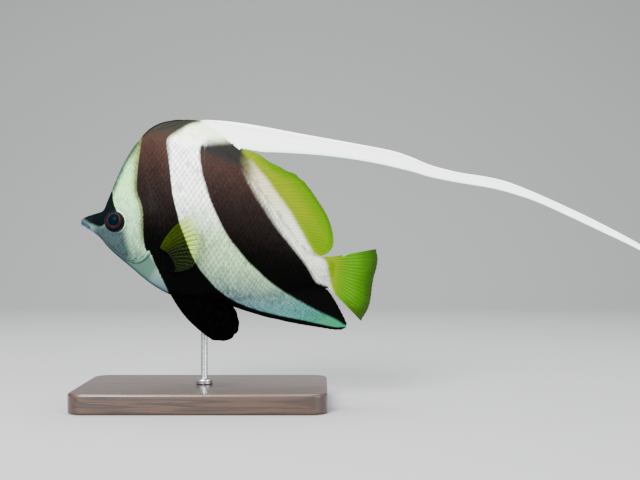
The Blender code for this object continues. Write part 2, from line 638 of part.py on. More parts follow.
def main():
    """Clears the file's scene and makes every piece."""
    for obj in list(bpy.data.objects):
        bpy.data.objects.remove(obj)
    joint = GAP_IN_STATIONS / 2
    coloured(make_head(), PEARL, 0.4)
    coloured(body_length("trunk", HEAD_END + joint, STALK_START - joint, TRUNK_RINGS), PEARL, 0.4)
    coloured(body_length("tail_stalk", STALK_START + joint, BODY_END, STALK_RINGS), PEARL, 0.4)
    coloured(make_sail(), PEARL, 0.45)
    coloured(make_soft_dorsal(), YELLOW, 0.45)
    coloured(make_anal_fin(), PEARL, 0.45)
    coloured(make_tail_fin(), YELLOW, 0.45)
    make_pennant_lengths()
    grown = body_length("fin_root_cutter", HEAD_END + joint, STALK_START - joint, TRUNK_RINGS, GAP)
    for side in ("left", "right"):
        coloured(make_eye(side), INK, 0.1)
        coloured(make_gill_cover(side), INK, 0.4)
        coloured(make_paired_fin(PECTORAL, side, PECTORAL_EDGE, grown), YELLOW, 0.45)
        coloured(make_paired_fin(PELVIC, side, PELVIC_EDGE, grown), INK, 0.45)
    coloured(make_base(), WOOD, 0.4)
    coloured(make_rod(), STEEL, 0.3, 1.0)


main()
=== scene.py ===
"""The looks of a life-size pennant coralfish that swims nose-up on a display stand.

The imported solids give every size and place. Over them this script lays a finer animal: one skin with lips,
nostrils and gill openings, overlapping scales, fins with branching rays, glossy eyes and the long white
pennant, and under it a wooden base with a turned steel rod.

Most shapes are designed in the fish's own plane, in millimetres. "along" runs from the snout tip to the
tail, "up" is square to it, and "side" is the distance out from the middle plane. In the finishes too, the
limits of eased() are such millimetres, or shares where the layer that they read is one.
"""

import logging
import math
from dataclasses import dataclass, field
from enum import Enum
from typing import Iterable, Optional, Union

import bpy
import numpy as np
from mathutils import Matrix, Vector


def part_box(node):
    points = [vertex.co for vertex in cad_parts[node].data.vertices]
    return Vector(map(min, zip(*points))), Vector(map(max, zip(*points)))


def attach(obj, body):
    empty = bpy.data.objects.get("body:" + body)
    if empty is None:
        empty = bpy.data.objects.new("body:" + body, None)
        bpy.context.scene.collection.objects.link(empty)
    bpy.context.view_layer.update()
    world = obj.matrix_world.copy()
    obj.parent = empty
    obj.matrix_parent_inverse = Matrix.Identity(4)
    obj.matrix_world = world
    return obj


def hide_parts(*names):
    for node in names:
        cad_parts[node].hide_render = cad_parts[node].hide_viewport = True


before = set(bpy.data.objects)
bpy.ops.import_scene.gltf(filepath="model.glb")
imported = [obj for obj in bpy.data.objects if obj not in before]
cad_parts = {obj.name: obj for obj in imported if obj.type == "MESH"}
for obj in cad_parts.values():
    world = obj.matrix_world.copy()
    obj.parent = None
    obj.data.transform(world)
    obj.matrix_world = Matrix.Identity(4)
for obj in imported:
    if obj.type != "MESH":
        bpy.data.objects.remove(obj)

Array = np.ndarray
Points = tuple[tuple[float, float], ...]
Piece = bpy.types.Object
Material = bpy.types.Material
Socket = bpy.types.NodeSocket
Span = tuple[float, float]
Triple = tuple[float, float, float]
Colour = tuple[float, float, float, float]
MM = 0.001

log = logging.getLogger("coralfish")


class Side(Enum):
    """A flank of the fish, whose value is the sign of Y there."""

    LEFT = -1
    RIGHT = 1

    @property
    def word(self) -> str:
        """The side's name in a piece's name."""
        return self.name.lower()


# Curves and nets of numbers


def curve_at(points: Array, at: Array) -> Array:
    """Points of the smooth curve through the given ones, at steps counted from 0.

    A Catmull-Rom spline: between two points, the cubic whose slope at each is half the step from the point
    before it to the point after it.

    Args:
        points: The points to pass, one a row, with any number of values.
        at: Where to read the curve, in steps.

    Returns:
        One row of values for each of at.
    """
    points = np.asarray(points, float)
    at = np.clip(np.asarray(at, float), 0, len(points) - 1)
    first = np.minimum(at.astype(int), len(points) - 2)
    t = (at - first)[..., None]
    more = np.vstack([2 * points[0] - points[1], points, 2 * points[-1] - points[-2]])
    a, b, c, d = (more[first + k] for k in range(4))
    return 0.5 * (2 * b + (c - a) * t + (2 * a - 5 * b + 4 * c - d) * t**2 + (3 * b - a - 3 * c + d) * t**3)


def smooth_track(points: Union[Array, Points], per_step: int = 12) -> Array:
    """The smooth curve through some points, as a polyline with so many stretches a step."""
    return curve_at(points, np.linspace(0, len(points) - 1, per_step * (len(points) - 1) + 1))


def share_of(track: Array, share: Array) -> Array:
    """Points of a polyline at shares of its length."""
    run = np.concatenate([[0], np.cumsum(np.linalg.norm(np.diff(track, axis=0), axis=1))])
    at = np.asarray(share) * run[-1]
    return np.stack([np.interp(at, run, track[:, k]) for k in range(track.shape[1])], axis=-1)


def read_off(table: Points, at: Array) -> Array:
    """Values of a table of (place, value) at some places, in straight lines from row to row."""
    return np.interp(at, *np.array(table).T)


def eased(value: Array, low: float, high: float) -> Array:
    """0 below low, 1 above high, and the smooth cubic 3t^2 - 2t^3 between them. high may be under low."""
    t = np.clip((np.asarray(value, float) - low) / (high - low), 0, 1)
    return t * t * (3 - 2 * t)


def bell(away: Array, width: Union[float, Array], height: float = 1.0, middle: float = 0.0) -> Array:
    """A soft rise of a height round a middle: height * exp(-((away - middle) / width)^2)."""
    return height * np.exp(-(((away - middle) / width) ** 2))


def depth_inside(outline: Array, along: Array, up: Array) -> Array:
    """How far points of the plane lie inside a closed outline, negative outside.

    The distance is the least one to any stretch of the outline, and a point is inside if a level line from
    it crosses the outline an odd number of times.

    Args:
        outline: The outline's points, one a row.
        along: The points' places along the fish.
        up: The points' places up.

    Returns:
        Signed distances, of the shape of along.
    """
    least = np.full(along.shape, np.inf)
    inside = np.zeros(along.shape, bool)
    for (x0, y0), (x1, y1) in zip(outline, np.roll(outline, -1, axis=0)):
        dx, dy = x1 - x0, y1 - y0
        if dx == dy == 0:
            continue
        share = np.clip(((along - x0) * dx + (up - y0) * dy) / (dx * dx + dy * dy), 0, 1)
        least = np.minimum(least, (along - x0 - share * dx) ** 2 + (up - y0 - share * dy) ** 2)
        if dy:
            inside ^= ((y0 > up) != (y1 > up)) & (along < x0 + (up - y0) * dx / dy)
    return np.where(inside, 1, -1) * np.sqrt(least)


@dataclass
class Net:
    """Values over the fish's plane, kept on the knots of a square net and read back between them."""

    low: Span = (-6.0, -58.0)
    high: Span = (186.0, 84.0)
    cell: float = 0.5
    least_weight: float = 0.05
    layers: dict[str, Array] = field(default_factory=dict)

    def __post_init__(self) -> None:
        """Works out the knots' places."""
        lines = (np.arange(a, b + self.cell / 2, self.cell) for a, b in zip(self.low, self.high))
        self.along, self.up = np.meshgrid(*lines, indexing="ij")

    def _corners(self, along: Array, up: Array) -> tuple[Array, Array]:
        """The four knots round each point, as flat indices, and their shares of it."""
        x = ((along - self.low[0]) / self.cell).clip(0, self.along.shape[0] - 1.001)
        y = ((up - self.low[1]) / self.cell).clip(0, self.along.shape[1] - 1.001)
        i, j = x.astype(int), y.astype(int)
        fx, fy = x - i, y - j
        first = i * self.along.shape[1] + j
        steps = np.array([0, self.along.shape[1], 1, self.along.shape[1] + 1])
        share = np.stack([(1 - fx) * (1 - fy), fx * (1 - fy), (1 - fx) * fy, fx * fy], axis=-1)
        return first[..., None] + steps, share

    def spread(self, along: Array, up: Array, value: Array) -> Array:
        """The mean, at each knot, of the values of close-set points round it, NaN where there are none."""
        knots, share = self._corners(along, up)
        size = self.along.size
        total = np.bincount(knots.ravel(), (share * value[..., None]).ravel(), minlength=size)
        weight = np.bincount(knots.ravel(), share.ravel(), minlength=size)
        mean = total / np.maximum(weight, self.least_weight)
        return np.where(weight > self.least_weight, mean, np.nan).reshape(self.along.shape)

    def at(self, name: str, along: Array, up: Array) -> Array:
        """A layer's values at points of the plane, by bilinear weights of the four knots round each."""
        knots, share = self._corners(np.asarray(along, float), np.asarray(up, float))
        return (self.layers[name].ravel()[knots] * share).sum(axis=-1)

    def slope(self, name: str, along: Array, up: Array) -> tuple[Array, Array]:
        """A layer's slopes along and up: the difference over a cell to each side, by the distance."""
        step = self.cell
        ahead = self.at(name, along + step, up) - self.at(name, along - step, up)
        above = self.at(name, along, up + step) - self.at(name, along, up - step)
        return ahead / (2 * step), above / (2 * step)


def filled_out(values: Array, rounds: int) -> Array:
    """A net's values with its empty knots filled from their neighbours' mean, ring by ring."""
    for _ in range(rounds):
        padded = np.pad(values, 1, constant_values=np.nan)
        near = np.stack([padded[:-2, 1:-1], padded[2:, 1:-1], padded[1:-1, :-2], padded[1:-1, 2:]])
        known = np.isfinite(near)
        mean = np.where(known, near, 0).sum(axis=0) / np.maximum(known.sum(axis=0), 1)
        values = np.where(np.isnan(values) & known.any(axis=0), mean, values)
    return np.nan_to_num(values)


# Meshes


@dataclass
class Shell:
    """The points, faces, attributes and UV map of a mesh that is being made."""

    points: Array
    faces: list[Array]
    values: dict[str, Array] = field(default_factory=dict)
    bake_map: Optional[Array] = None

    def build(self, name: str, finish: Material, slot: str, sharp: float = 50.0) -> Piece:
        """Makes the mesh object, in its finish, riding on the fish's one body.

        Args:
            name: The piece's name.
            finish: Its material.
            slot: The record's slot for its finish; not used.
            sharp: The angle in degrees past which an edge is shaded sharp.

        Returns:
            The new object.
        """
        mesh = bpy.data.meshes.new(name)
        corners = [np.asarray(f, np.int32).ravel() for f in self.faces]
        sizes = np.concatenate([np.full(len(f), f.shape[1], np.int32) for f in self.faces])
        loops = np.concatenate(corners)
        mesh.vertices.add(len(self.points))
        mesh.vertices.foreach_set("co", np.asarray(self.points, np.float32).ravel())
        mesh.loops.add(len(loops))
        mesh.loops.foreach_set("vertex_index", loops)
        mesh.polygons.add(len(sizes))
        mesh.polygons.foreach_set("loop_start", np.concatenate([[0], np.cumsum(sizes)[:-1]]).astype(np.int32))
        mesh.update(calc_edges=True)
        mesh.validate()
        for key, value in self.values.items():
            layer = mesh.attributes.new(key, "FLOAT", "POINT")
            layer.data.foreach_set("value", np.asarray(value, np.float32).ravel())
        if self.bake_map is not None:
            layer = mesh.uv_layers.new(name="OFBake")
            layer.data.foreach_set("uv", self.bake_map[loops].astype(np.float32).ravel())
        mesh.shade_smooth()
        mesh.set_sharp_from_angle(angle=math.radians(sharp))
        mesh.materials.append(finish)
        piece = bpy.data.objects.new(name, mesh)
        bpy.context.scene.collection.objects.link(piece)
        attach(piece, "root")
        log.info("%s: %d points, %d faces", name, len(self.points), len(sizes))
        return piece


def net_faces(rows: int, columns: int, around: bool = False) -> Array:
    """Quads of a grid of points, row after row of them. around joins the last column to the first."""
    index = np.arange(rows * columns).reshape(rows, columns)
    after = np.roll(index, -1, axis=1)
    quads = np.stack([index[:-1], index[1:], after[1:], after[:-1]], axis=-1)
    return (quads if around else quads[:, :-1]).reshape(-1, 4)


def two_faced(low: Array, high: Array, values: dict[str, Array]) -> Shell:
    """A closed blade from the grids of its two faces, joined by a strip round the rim.

    Args:
        low: Points of the face towards -Y, rows by columns by 3.
        high: Points of the face towards +Y, matched to them.
        values: Attributes on the grid, the same on both faces.

    Returns:
        The shell, faces outwards if the grid's rows and columns turn from up to along.
    """
    rows, columns = low.shape[:2]
    index = np.arange(rows * columns).reshape(rows, columns)
    quads = net_faces(rows, columns)
    rim = np.concatenate([index[:-1, 0], index[-1, :-1], index[:0:-1, -1], index[0, :0:-1]])
    after, far = np.roll(rim, -1), rows * columns
    strip = np.stack([rim, rim + far, after + far, after], axis=-1)
    points = np.concatenate([low.reshape(-1, 3), high.reshape(-1, 3)])
    doubled = {key: np.concatenate([np.ravel(value)] * 2) for key, value in values.items()}
    shell = Shell(points, [quads, quads[:, ::-1] + far, strip], doubled)
    return outward(shell)


def outward(shell: Shell) -> Shell:
    """The same closed shell with its faces turned out, which they are if its volume comes out positive.

    The volume is a sixth of the sum, over triangles fanned from each face's first corner, of the triple
    product of their corners.
    """
    volume = 0.0
    middle = shell.points.mean(axis=0)
    for faces in shell.faces:
        corner = shell.points[faces] - middle
        for k in range(1, faces.shape[1] - 1):
            volume += np.einsum("ij,ij->", corner[:, 0], np.cross(corner[:, k], corner[:, k + 1]))
    if volume < 0:
        shell.faces = [faces[:, ::-1] for faces in shell.faces]
    return shell


def capped(rings: Array) -> Shell:
    """A closed shell of rings of points, one after another, with a flat face at each end."""
    rows, columns = rings.shape[:2]
    ends = np.arange(rows * columns).reshape(rows, columns)
    faces = [net_faces(rows, columns, around=True), ends[:1], ends[-1:, ::-1]]
    return outward(Shell(rings.reshape(-1, 3), faces))


def tube(path: Array, wide: Array, high: Array, up: Array, closed: bool, sides: int = 16) -> Shell:
    """A tube of oval section along a path.

    Each ring is path + wide * cos * across + high * sin * above, where across is square to the path and to
    up, and above to both.

    Args:
        path: Points, one a row.
        wide: Half widths across, one for each point.
        high: Half heights, likewise.
        up: A direction that the section's height leans to, one for each point or one for all.
        closed: Whether the path is a ring; otherwise its ends are capped.
        sides: How many points a ring has.

    Returns:
        The closed shell, in the path's own space.
    """
    if closed:
        ahead = np.roll(path, -1, axis=0) - np.roll(path, 1, axis=0)
    else:
        ahead = np.gradient(path, axis=0)
    ahead /= np.linalg.norm(ahead, axis=1)[:, None]
    across = np.cross(ahead, np.broadcast_to(up, ahead.shape))
    across /= np.linalg.norm(across, axis=1)[:, None]
    above = np.cross(across, ahead)
    turn = np.linspace(0, 2 * math.pi, sides, endpoint=False)[None, :, None]
    ring = path[:, None] + wide[:, None, None] * across[:, None] * np.cos(turn)
    ring = ring + high[:, None, None] * above[:, None] * np.sin(turn)
    if closed:
        faces = net_faces(len(path), sides, around=True)
        first = np.arange(sides)
        last = first + (len(path) - 1) * sides
        joint = np.stack([last, first, np.roll(first, -1), np.roll(last, -1)], axis=-1)
        return outward(Shell(ring.reshape(-1, 3), [np.vstack([faces, joint])]))
    return capped(ring)


@dataclass(frozen=True)
class SwimPlane:
    """The fish's own plane, and how it is pitched and swayed into the part.

    The sway is half a cosine wave, which starts behind the middle of the body and carries the tail and the
    pennant out to one side.
    """

    pitch: float = math.radians(12.0)
    snout_x: float = -74.0
    snout_z: float = 112.0
    sway: float = 9.0
    sway_start: float = 90.0
    sway_half_wave: float = 180.0
    lens: Triple = (70.6, -651.0, 99.8)

    def placed(self, along: Array, up: Array, side: Array) -> Array:
        """Plane coordinates and distances to +Y of the middle plane, as points of the part in metres."""
        past = (np.asarray(along) - self.sway_start).clip(0)
        sway = self.sway * (1 - np.cos(math.pi * past / self.sway_half_wave)) / 2
        x = self.snout_x + along * math.cos(self.pitch) + up * math.sin(self.pitch)
        z = self.snout_z - along * math.sin(self.pitch) + up * math.cos(self.pitch)
        return MM * np.stack(np.broadcast_arrays(x, side + sway, z), axis=-1)

    def dress(self, shell: Shell, side_sign: float) -> Shell:
        """A shell of plane coordinates moved into the part, with its third one to a side."""
        along, up, side = shell.points.T
        shell.points = self.placed(along, up, side_sign * side)
        return outward(shell)

    def lens_point(self) -> Array:
        """The plane point that the middle of the picture looks at."""
        x, z = self.lens[0] - self.snout_x, self.lens[2] - self.snout_z
        cos, sin = math.cos(self.pitch), math.sin(self.pitch)
        return np.array([x * cos - z * sin, x * sin + z * cos])

    def drawn_in(self, points: Array, side: Array) -> Array:
        """Marks read off the picture at the middle plane's scale, moved to a flank that is nearer the lens.

        A mark that stands out by side looks further from the middle of the picture than it is, in the ratio
        of the two distances from the lens.
        """
        middle = self.lens_point()
        return middle + (points - middle) * (1 + side[..., None] / self.lens[1])

    def behind(self, points: Array, side: Array, further: Array) -> Array:
        """Where the lines of sight through points that stand out by side meet the flank, further in."""
        middle = self.lens_point()
        shrink = (self.lens[1] + further) / (self.lens[1] + side)
        return middle + (points - middle) * shrink[..., None]


# Materials


RAY_JOINTS = 9.0


def paint(red: float, green: float, blue: float) -> Colour:
    """A colour by the shares of red, green and blue light that it sends back."""
    return (red, green, blue, 1.0)


class Number:
    """A number that varies over a surface. Arithmetic on it adds Math nodes to its material."""

    def __init__(self, shading: "Shading", socket: Socket) -> None:
        """Wraps an output socket of a material's node."""
        self.shading = shading
        self.socket = socket

    def _math(self, operation: str, *values: object) -> "Number":
        """A Math node's result on some values."""
        keys = ("Value", "Value_001", "Value_002")
        return self.shading.number("Math", {"operation": operation}, dict(zip(keys, values)), "Value")

    def __add__(self, other: object) -> "Number":
        """The sum."""
        return self._math("ADD", self, other)

    __radd__ = __add__

    def __sub__(self, other: object) -> "Number":
        """The difference."""
        return self._math("SUBTRACT", self, other)

    def __rsub__(self, other: object) -> "Number":
        """The difference, the other way round."""
        return self._math("SUBTRACT", other, self)

    def __mul__(self, other: object) -> "Number":
        """The product."""
        return self._math("MULTIPLY", self, other)

    __rmul__ = __mul__

    def wave(self) -> "Number":
        """The sine."""
        return self._math("SINE", self)

    def most(self, other: object) -> "Number":
        """The greater of the two."""
        return self._math("MAXIMUM", self, other)

    def eased(self, low: float, high: float) -> "Number":
        """0 at low, 1 at high, smooth between them and flat past them. high may be under low."""
        rising = high > low
        inputs = {"Value": self, "From Min": min(low, high), "From Max": max(low, high)}
        inputs |= {"To Min": 0.0 if rising else 1.0, "To Max": 1.0 if rising else 0.0}
        return self.shading.number("MapRange", {"interpolation_type": "SMOOTHSTEP"}, inputs, "Result")


class Shading:
    """One material with a Principled shader, and the few ways in which nodes are added to it."""

    def __init__(self, name: str) -> None:
        """Starts the material."""
        self.material = bpy.data.materials.new(name)
        self.material.use_nodes = True
        self.tree = self.material.node_tree
        self.shader = self.tree.nodes["Principled BSDF"]
        self._place: Optional[Socket] = None

    def node(self, kind: str, settings: dict[str, object], inputs: dict[str, object]) -> bpy.types.Node:
        """Adds a node.

        Args:
            kind: Its type, without the ShaderNode in front.
            settings: Its own properties, set first.
            inputs: Values or links of its sockets, by a socket's identifier or name.

        Returns:
            The node.
        """
        made = self.tree.nodes.new("ShaderNode" + kind)
        for key, value in settings.items():
            setattr(made, key, value)
        for key, value in inputs.items():
            self.join(made, key, value)
        return made

    def join(self, made: bpy.types.Node, key: str, value: object) -> None:
        """Sets one socket of a node, or links it where the value is a Number or a socket."""
        socket = next((s for s in made.inputs if s.identifier == key), None) or made.inputs[key]
        if isinstance(value, Number):
            self.tree.links.new(value.socket, socket)
        elif isinstance(value, Socket):
            self.tree.links.new(value, socket)
        else:
            socket.default_value = value

    def number(self, kind: str, settings: dict[str, object], inputs: dict[str, object], out: str) -> Number:
        """Adds a node and gives one of its outputs as a Number."""
        return Number(self, self.node(kind, settings, inputs).outputs[out])

    def layer(self, name: str) -> Number:
        """A value that the mesh carries."""
        return self.number("Attribute", {"attribute_name": name}, {}, "Fac")

    @property
    def place(self) -> Socket:
        """The point's place on the object, in metres."""
        if self._place is None:
            self._place = self.node("TexCoord", {}, {}).outputs["Object"]
        return self._place

    def stretched(self, scale: Triple, turn: float = 0.0) -> Socket:
        """The place, turned about Y by so many radians and then scaled along each axis."""
        turned = {"Vector": self.place, "Rotation": (0.0, turn, 0.0)}
        lying = self.node("Mapping", {"vector_type": "POINT"}, turned).outputs["Vector"]
        return self.node("Mapping", {}, {"Vector": lying, "Scale": scale}).outputs["Vector"]

    def noise(self, size: float, detail: float = 2.0, place: Optional[Socket] = None) -> Number:
        """Soft noise from 0 to 1 with spots of about the given size in millimetres."""
        inputs = {"Vector": place or self.place, "Scale": 1 / (size * MM), "Detail": detail}
        return self.number("TexNoise", {}, inputs, "Fac")

    def mixed(self, share: object, first: object, second: object, how: str = "MIX") -> Socket:
        """The first colour, mixed with the second in some way as share goes from 0 to 1."""
        inputs = {"Factor_Float": share, "A_Color": first, "B_Color": second}
        made = self.node("Mix", {"data_type": "RGBA", "blend_type": how}, inputs)
        return next(s for s in made.outputs if s.identifier == "Result_Color")

    def shaded(self, colour: object, share: Number, tint: Triple) -> Socket:
        """A colour multiplied by a tint as far as share says."""
        return self.mixed(share, colour, paint(*tint), "MULTIPLY")

    def bump(self, height: Number, depth: float, under: Optional[Socket] = None) -> Socket:
        """A normal for small relief, whose height of 0 to 1 stands for so many millimetres."""
        relief = {"Height": height, "Distance": depth * MM, "Strength": 1.0}
        return self.node("Bump", {}, relief | ({} if under is None else {"Normal": under})).outputs["Normal"]

    def coated(self, colour: object, *coats: tuple[object, object]) -> Socket:
        """A colour with others laid over it in turn, each given as its share and itself."""
        for share, over in coats:
            colour = self.mixed(share, colour, over)
        return colour

    def jointed(self, ray: Number, under: Optional[Socket] = None) -> Socket:
        """A normal for the fine joints across a fin's soft rays."""
        joints = (self.layer("root_distance") * RAY_JOINTS).wave() * ray
        return self.bump(joints * 0.5 + 0.5, 0.02, under)

    def wear(self, colour: object, rough: Number, others: dict[str, object]) -> Material:
        """Dresses the shader and gives the finished material.

        Args:
            colour: The base colour.
            rough: The roughness.
            others: Values or links of its other sockets, by name.

        Returns:
            The material.
        """
        for key, value in ({"Base Color": colour, "Roughness": rough} | others).items():
            self.join(self.shader, key, value)
        return self.material


# The fish's form


@dataclass(frozen=True)
class Station:
    """One row of the body's table of offsets, in millimetres but for the two powers.

    back and keel are where it meets the outlines, half is its half width, the two edges are the half widths
    of the strips there, and bow is how far it bends towards the tail at mid height.
    """

    back: Span
    keel: Span
    half: float
    back_edge: float
    keel_edge: float
    back_power: float
    keel_power: float
    bow: float

    def row(self) -> tuple[float, ...]:
        """The station as one row of numbers."""
        edges = (self.back_edge, self.keel_edge, self.back_power, self.keel_power)
        return (*self.back, *self.keel, self.half, *edges, self.bow)


STATIONS = (
    Station((-0.2, 0.9), (0.2, -1.6), 1.3, 0.5, 0.5, 1.0, 1.0, 0.0),
    Station((2.6, 3.0), (3.3, -4.3), 2.9, 0.7, 0.7, 1.0, 1.0, 0.0),
    Station((6.8, 5.4), (7.6, -5.8), 4.0, 0.8, 0.8, 1.0, 1.0, 0.0),
    Station((10.9, 8.2), (12.6, -8.4), 6.0, 0.8, 0.8, 1.0, 1.0, 0.3),
    Station((12.3, 14.4), (17.6, -12.4), 9.0, 0.8, 0.8, 1.1, 1.0, 3.0),
    Station((13.6, 21.8), (23.0, -15.9), 11.0, 0.9, 0.9, 1.15, 1.05, 9.5),
    Station((15.3, 31.5), (29.0, -19.2), 12.4, 1.0, 0.9, 1.2, 1.1, 18.0),
    Station((18.4, 43.5), (36.0, -22.9), 13.0, 1.0, 1.0, 1.3, 1.1, 21.0),
    Station((23.4, 54.6), (43.4, -26.9), 13.1, 1.2, 1.0, 1.5, 1.1, 18.0),
    Station((31.0, 61.4), (51.2, -30.4), 13.0, 1.5, 1.2, 1.6, 1.1, 14.5),
    Station((42.0, 65.7), (60.2, -33.1), 12.8, 1.5, 1.5, 1.7, 1.15, 10.5),
    Station((55.0, 66.6), (70.0, -34.2), 12.3, 1.5, 1.8, 1.7, 1.2, 6.5),
    Station((68.0, 63.4), (81.0, -33.5), 11.4, 1.5, 1.8, 1.7, 1.3, 3.0),
    Station((81.0, 56.6), (93.0, -30.2), 10.2, 1.5, 1.5, 1.7, 1.6, 1.0),
    Station((95.0, 46.7), (106.0, -26.2), 8.8, 1.5, 1.5, 1.7, 1.7, 0.0),
    Station((109.3, 34.5), (119.0, -21.8), 7.3, 1.5, 1.5, 1.7, 1.7, 0.0),
    Station((122.0, 22.9), (130.5, -17.0), 5.9, 1.5, 1.5, 1.6, 1.6, 0.0),
    Station((133.0, 13.0), (140.0, -12.4), 4.8, 1.5, 1.5, 1.4, 1.4, 0.0),
    Station((141.5, 7.6), (146.5, -9.6), 4.0, 1.4, 1.4, 1.2, 1.2, 0.0),
    Station((151.5, 9.4), (154.5, -8.8), 2.2, 1.2, 1.2, 1.0, 1.0, 0.0),
)


@dataclass
class Body:
    """The whole body as one skin, with the relief of its head.

    A point is given by a station along the body and a turn round it, 0 degrees at the back and 180 at the
    keel. socket_ring, round the eye, and nostril_ring have a radius, a width and a height. A nostril has a
    station, a turn and a radius, and nostril_depth and the ring's radius and width are shares of that radius.
    mouth_pit has the width and the depth of the pit at each corner of the mouth.
    """

    plane: SwimPlane
    net: Net
    widest: float = 0.55
    gill_edge: Points = ((66.0, 6.3), (90.0, 6.32), (110.0, 6.38), (125.0, 6.44), (134.0, 6.5), (142.0, 6.47),
                         (151.0, 6.36), (157.0, 6.28), (161.5, 6.12), (164.0, 5.9), (166.5, 5.6))
    cover_height: float = 0.5
    split_station: float = 6.9
    head_rings: int = 190
    trunk_rings: int = 90
    turns: int = 132
    eye_station: float = 4.38
    eye_turn: float = 89.0
    eye_opening: float = 5.25
    nostrils: tuple[Triple, ...] = ((2.93, 50.0, 0.55), (2.6, 58.0, 0.38))
    nostril_ring: Triple = (1.35, 0.3, 0.22)
    nostril_depth: float = 0.6
    mouth_pit: Span = (0.7, 0.3)
    mouth_tip: Span = (0.0, -1.3)
    mouth_corner: Span = (5.7, -3.5)
    coat_depth: float = 0.4
    cheek_fold: Span = (5.25, 0.72)
    cheek_height: float = 0.3
    socket_ring: Triple = (6.7, 0.8, 0.3)
    socket_depth: float = 2.2

    def at(self, station: Array, turn: Array) -> Array:
        """Smooth points of the flank, as (along, up, side).

        A station is a line from the back to the keel, bowed by bow * sin(turn), and the flank stands out
        from it by edge + (half - edge) * sin(turn)^power.
        """
        table = np.array([station.row() for station in STATIONS])
        station, turn = np.broadcast_arrays(np.asarray(station, float), np.radians(turn))
        row = curve_at(table, station)
        back, keel = row[..., 0:2], row[..., 2:4]
        half, back_edge, keel_edge, back_power, keel_power, bow = np.moveaxis(row[..., 4:], -1, 0)
        upper = turn <= math.pi / 2
        fall = 1 - np.cos(turn)
        down = np.where(upper, fall * (1 - self.widest), 1 - 2 * self.widest + fall * self.widest)
        point = back + (keel - back) * down[..., None]
        bulge = np.sin(turn).clip(0)
        edge = np.where(upper, back_edge, keel_edge)
        side = edge + (half - edge) * bulge ** np.where(upper, back_power, keel_power)
        return np.stack([point[..., 0] + bow * bulge, point[..., 1], side], axis=-1)

    @property
    def eye_place(self) -> Array:
        """The point of the smooth flank over the middle of the eye."""
        return self.at(self.eye_station, self.eye_turn)

    def gill_station(self, turn: Array) -> Array:
        """The station of the gill cover's rear edge at a turn."""
        return read_off(self.gill_edge, turn)

    def swell(self, station: Array, turn: Array, point: Array) -> Array:
        """How far the gill cover, the cheek and the ring round the eye stand out from the smooth flank.

        The cover and the cheek rise slowly towards their rear edges and fall in a soft step past them. The
        ring is a bell across its radius.
        """
        window = eased(turn, 58, 84) * eased(turn, 168, 160)
        behind = station - self.gill_station(turn)
        cover = self.cover_height * eased(behind, -1.0, -0.1) * eased(behind, 0.22, 0.0)
        fold = station - self.cheek_fold[0] - self.cheek_fold[1] * eased(turn, 112, 160)
        cheek = self.cheek_height * eased(fold, -0.6, -0.02) * eased(fold, 0.14, 0.0)
        cheek = cheek * eased(turn, 98, 116) * eased(turn, 168, 156)
        away = np.hypot(point[..., 0] - self.eye_place[0], point[..., 1] - self.eye_place[1])
        radius, width, height = self.socket_ring
        ring = bell(away, width, height, radius)
        return (window * cover + cheek) * eased(away, 6.5, 9.0) + ring

    def cuts(self, point: Array) -> Array:
        """How far the eye's opening, the nostrils and the mouth's corners go in, as a negative height."""
        along, up = point[..., 0], point[..., 1]
        away = np.hypot(along - self.eye_place[0], up - self.eye_place[1])
        depth = -self.socket_depth * eased(away, self.eye_opening, self.eye_opening - self.socket_depth / 2)
        for nose_station, nose_turn, radius in self.nostrils:
            hole = self.at(nose_station, nose_turn)
            near = np.hypot(along - hole[0], up - hole[1]) / radius
            ring_radius, width, height = self.nostril_ring
            depth = depth - self.nostril_depth * radius * eased(near, 1.0, 0.4)
            depth = depth + bell(near, width, height, ring_radius)
        corner = np.hypot(along - self.mouth_corner[0] - 0.2, up - self.mouth_corner[1])
        return depth - bell(corner, *self.mouth_pit)

    def surface(self, station: Array, turn: Array, cuts: bool, coat: Optional[Array] = None) -> Array:
        """Points of the flank with its relief, laid off square to the smooth flank.

        The normal is the cross product of the flank's two directions.

        Args:
            station: Stations of the points.
            turn: Their turns.
            cuts: Whether the eye's opening and the other small cuts are made.
            coat: How far the skin is drawn in under the scales, if it is.

        Returns:
            Points as (along, up, side).
        """
        point = self.at(station, turn)
        step = 0.01
        ahead = self.at(station + step, turn) - self.at(station - step, turn)
        down = self.at(station, turn + step) - self.at(station, turn - step)
        normal = np.cross(ahead, down)
        length = np.linalg.norm(normal, axis=-1, keepdims=True)
        normal = np.where(length > 1e-9, normal / np.maximum(length, 1e-9), [0.0, 0.0, 1.0])
        normal = normal * np.where(normal[..., 2:] < 0, -1.0, 1.0)
        lift = self.swell(station, turn, point)
        if cuts:
            lift = lift + self.cuts(point)
        if coat is not None:
            lift = lift - coat
        return point + normal * lift[..., None]

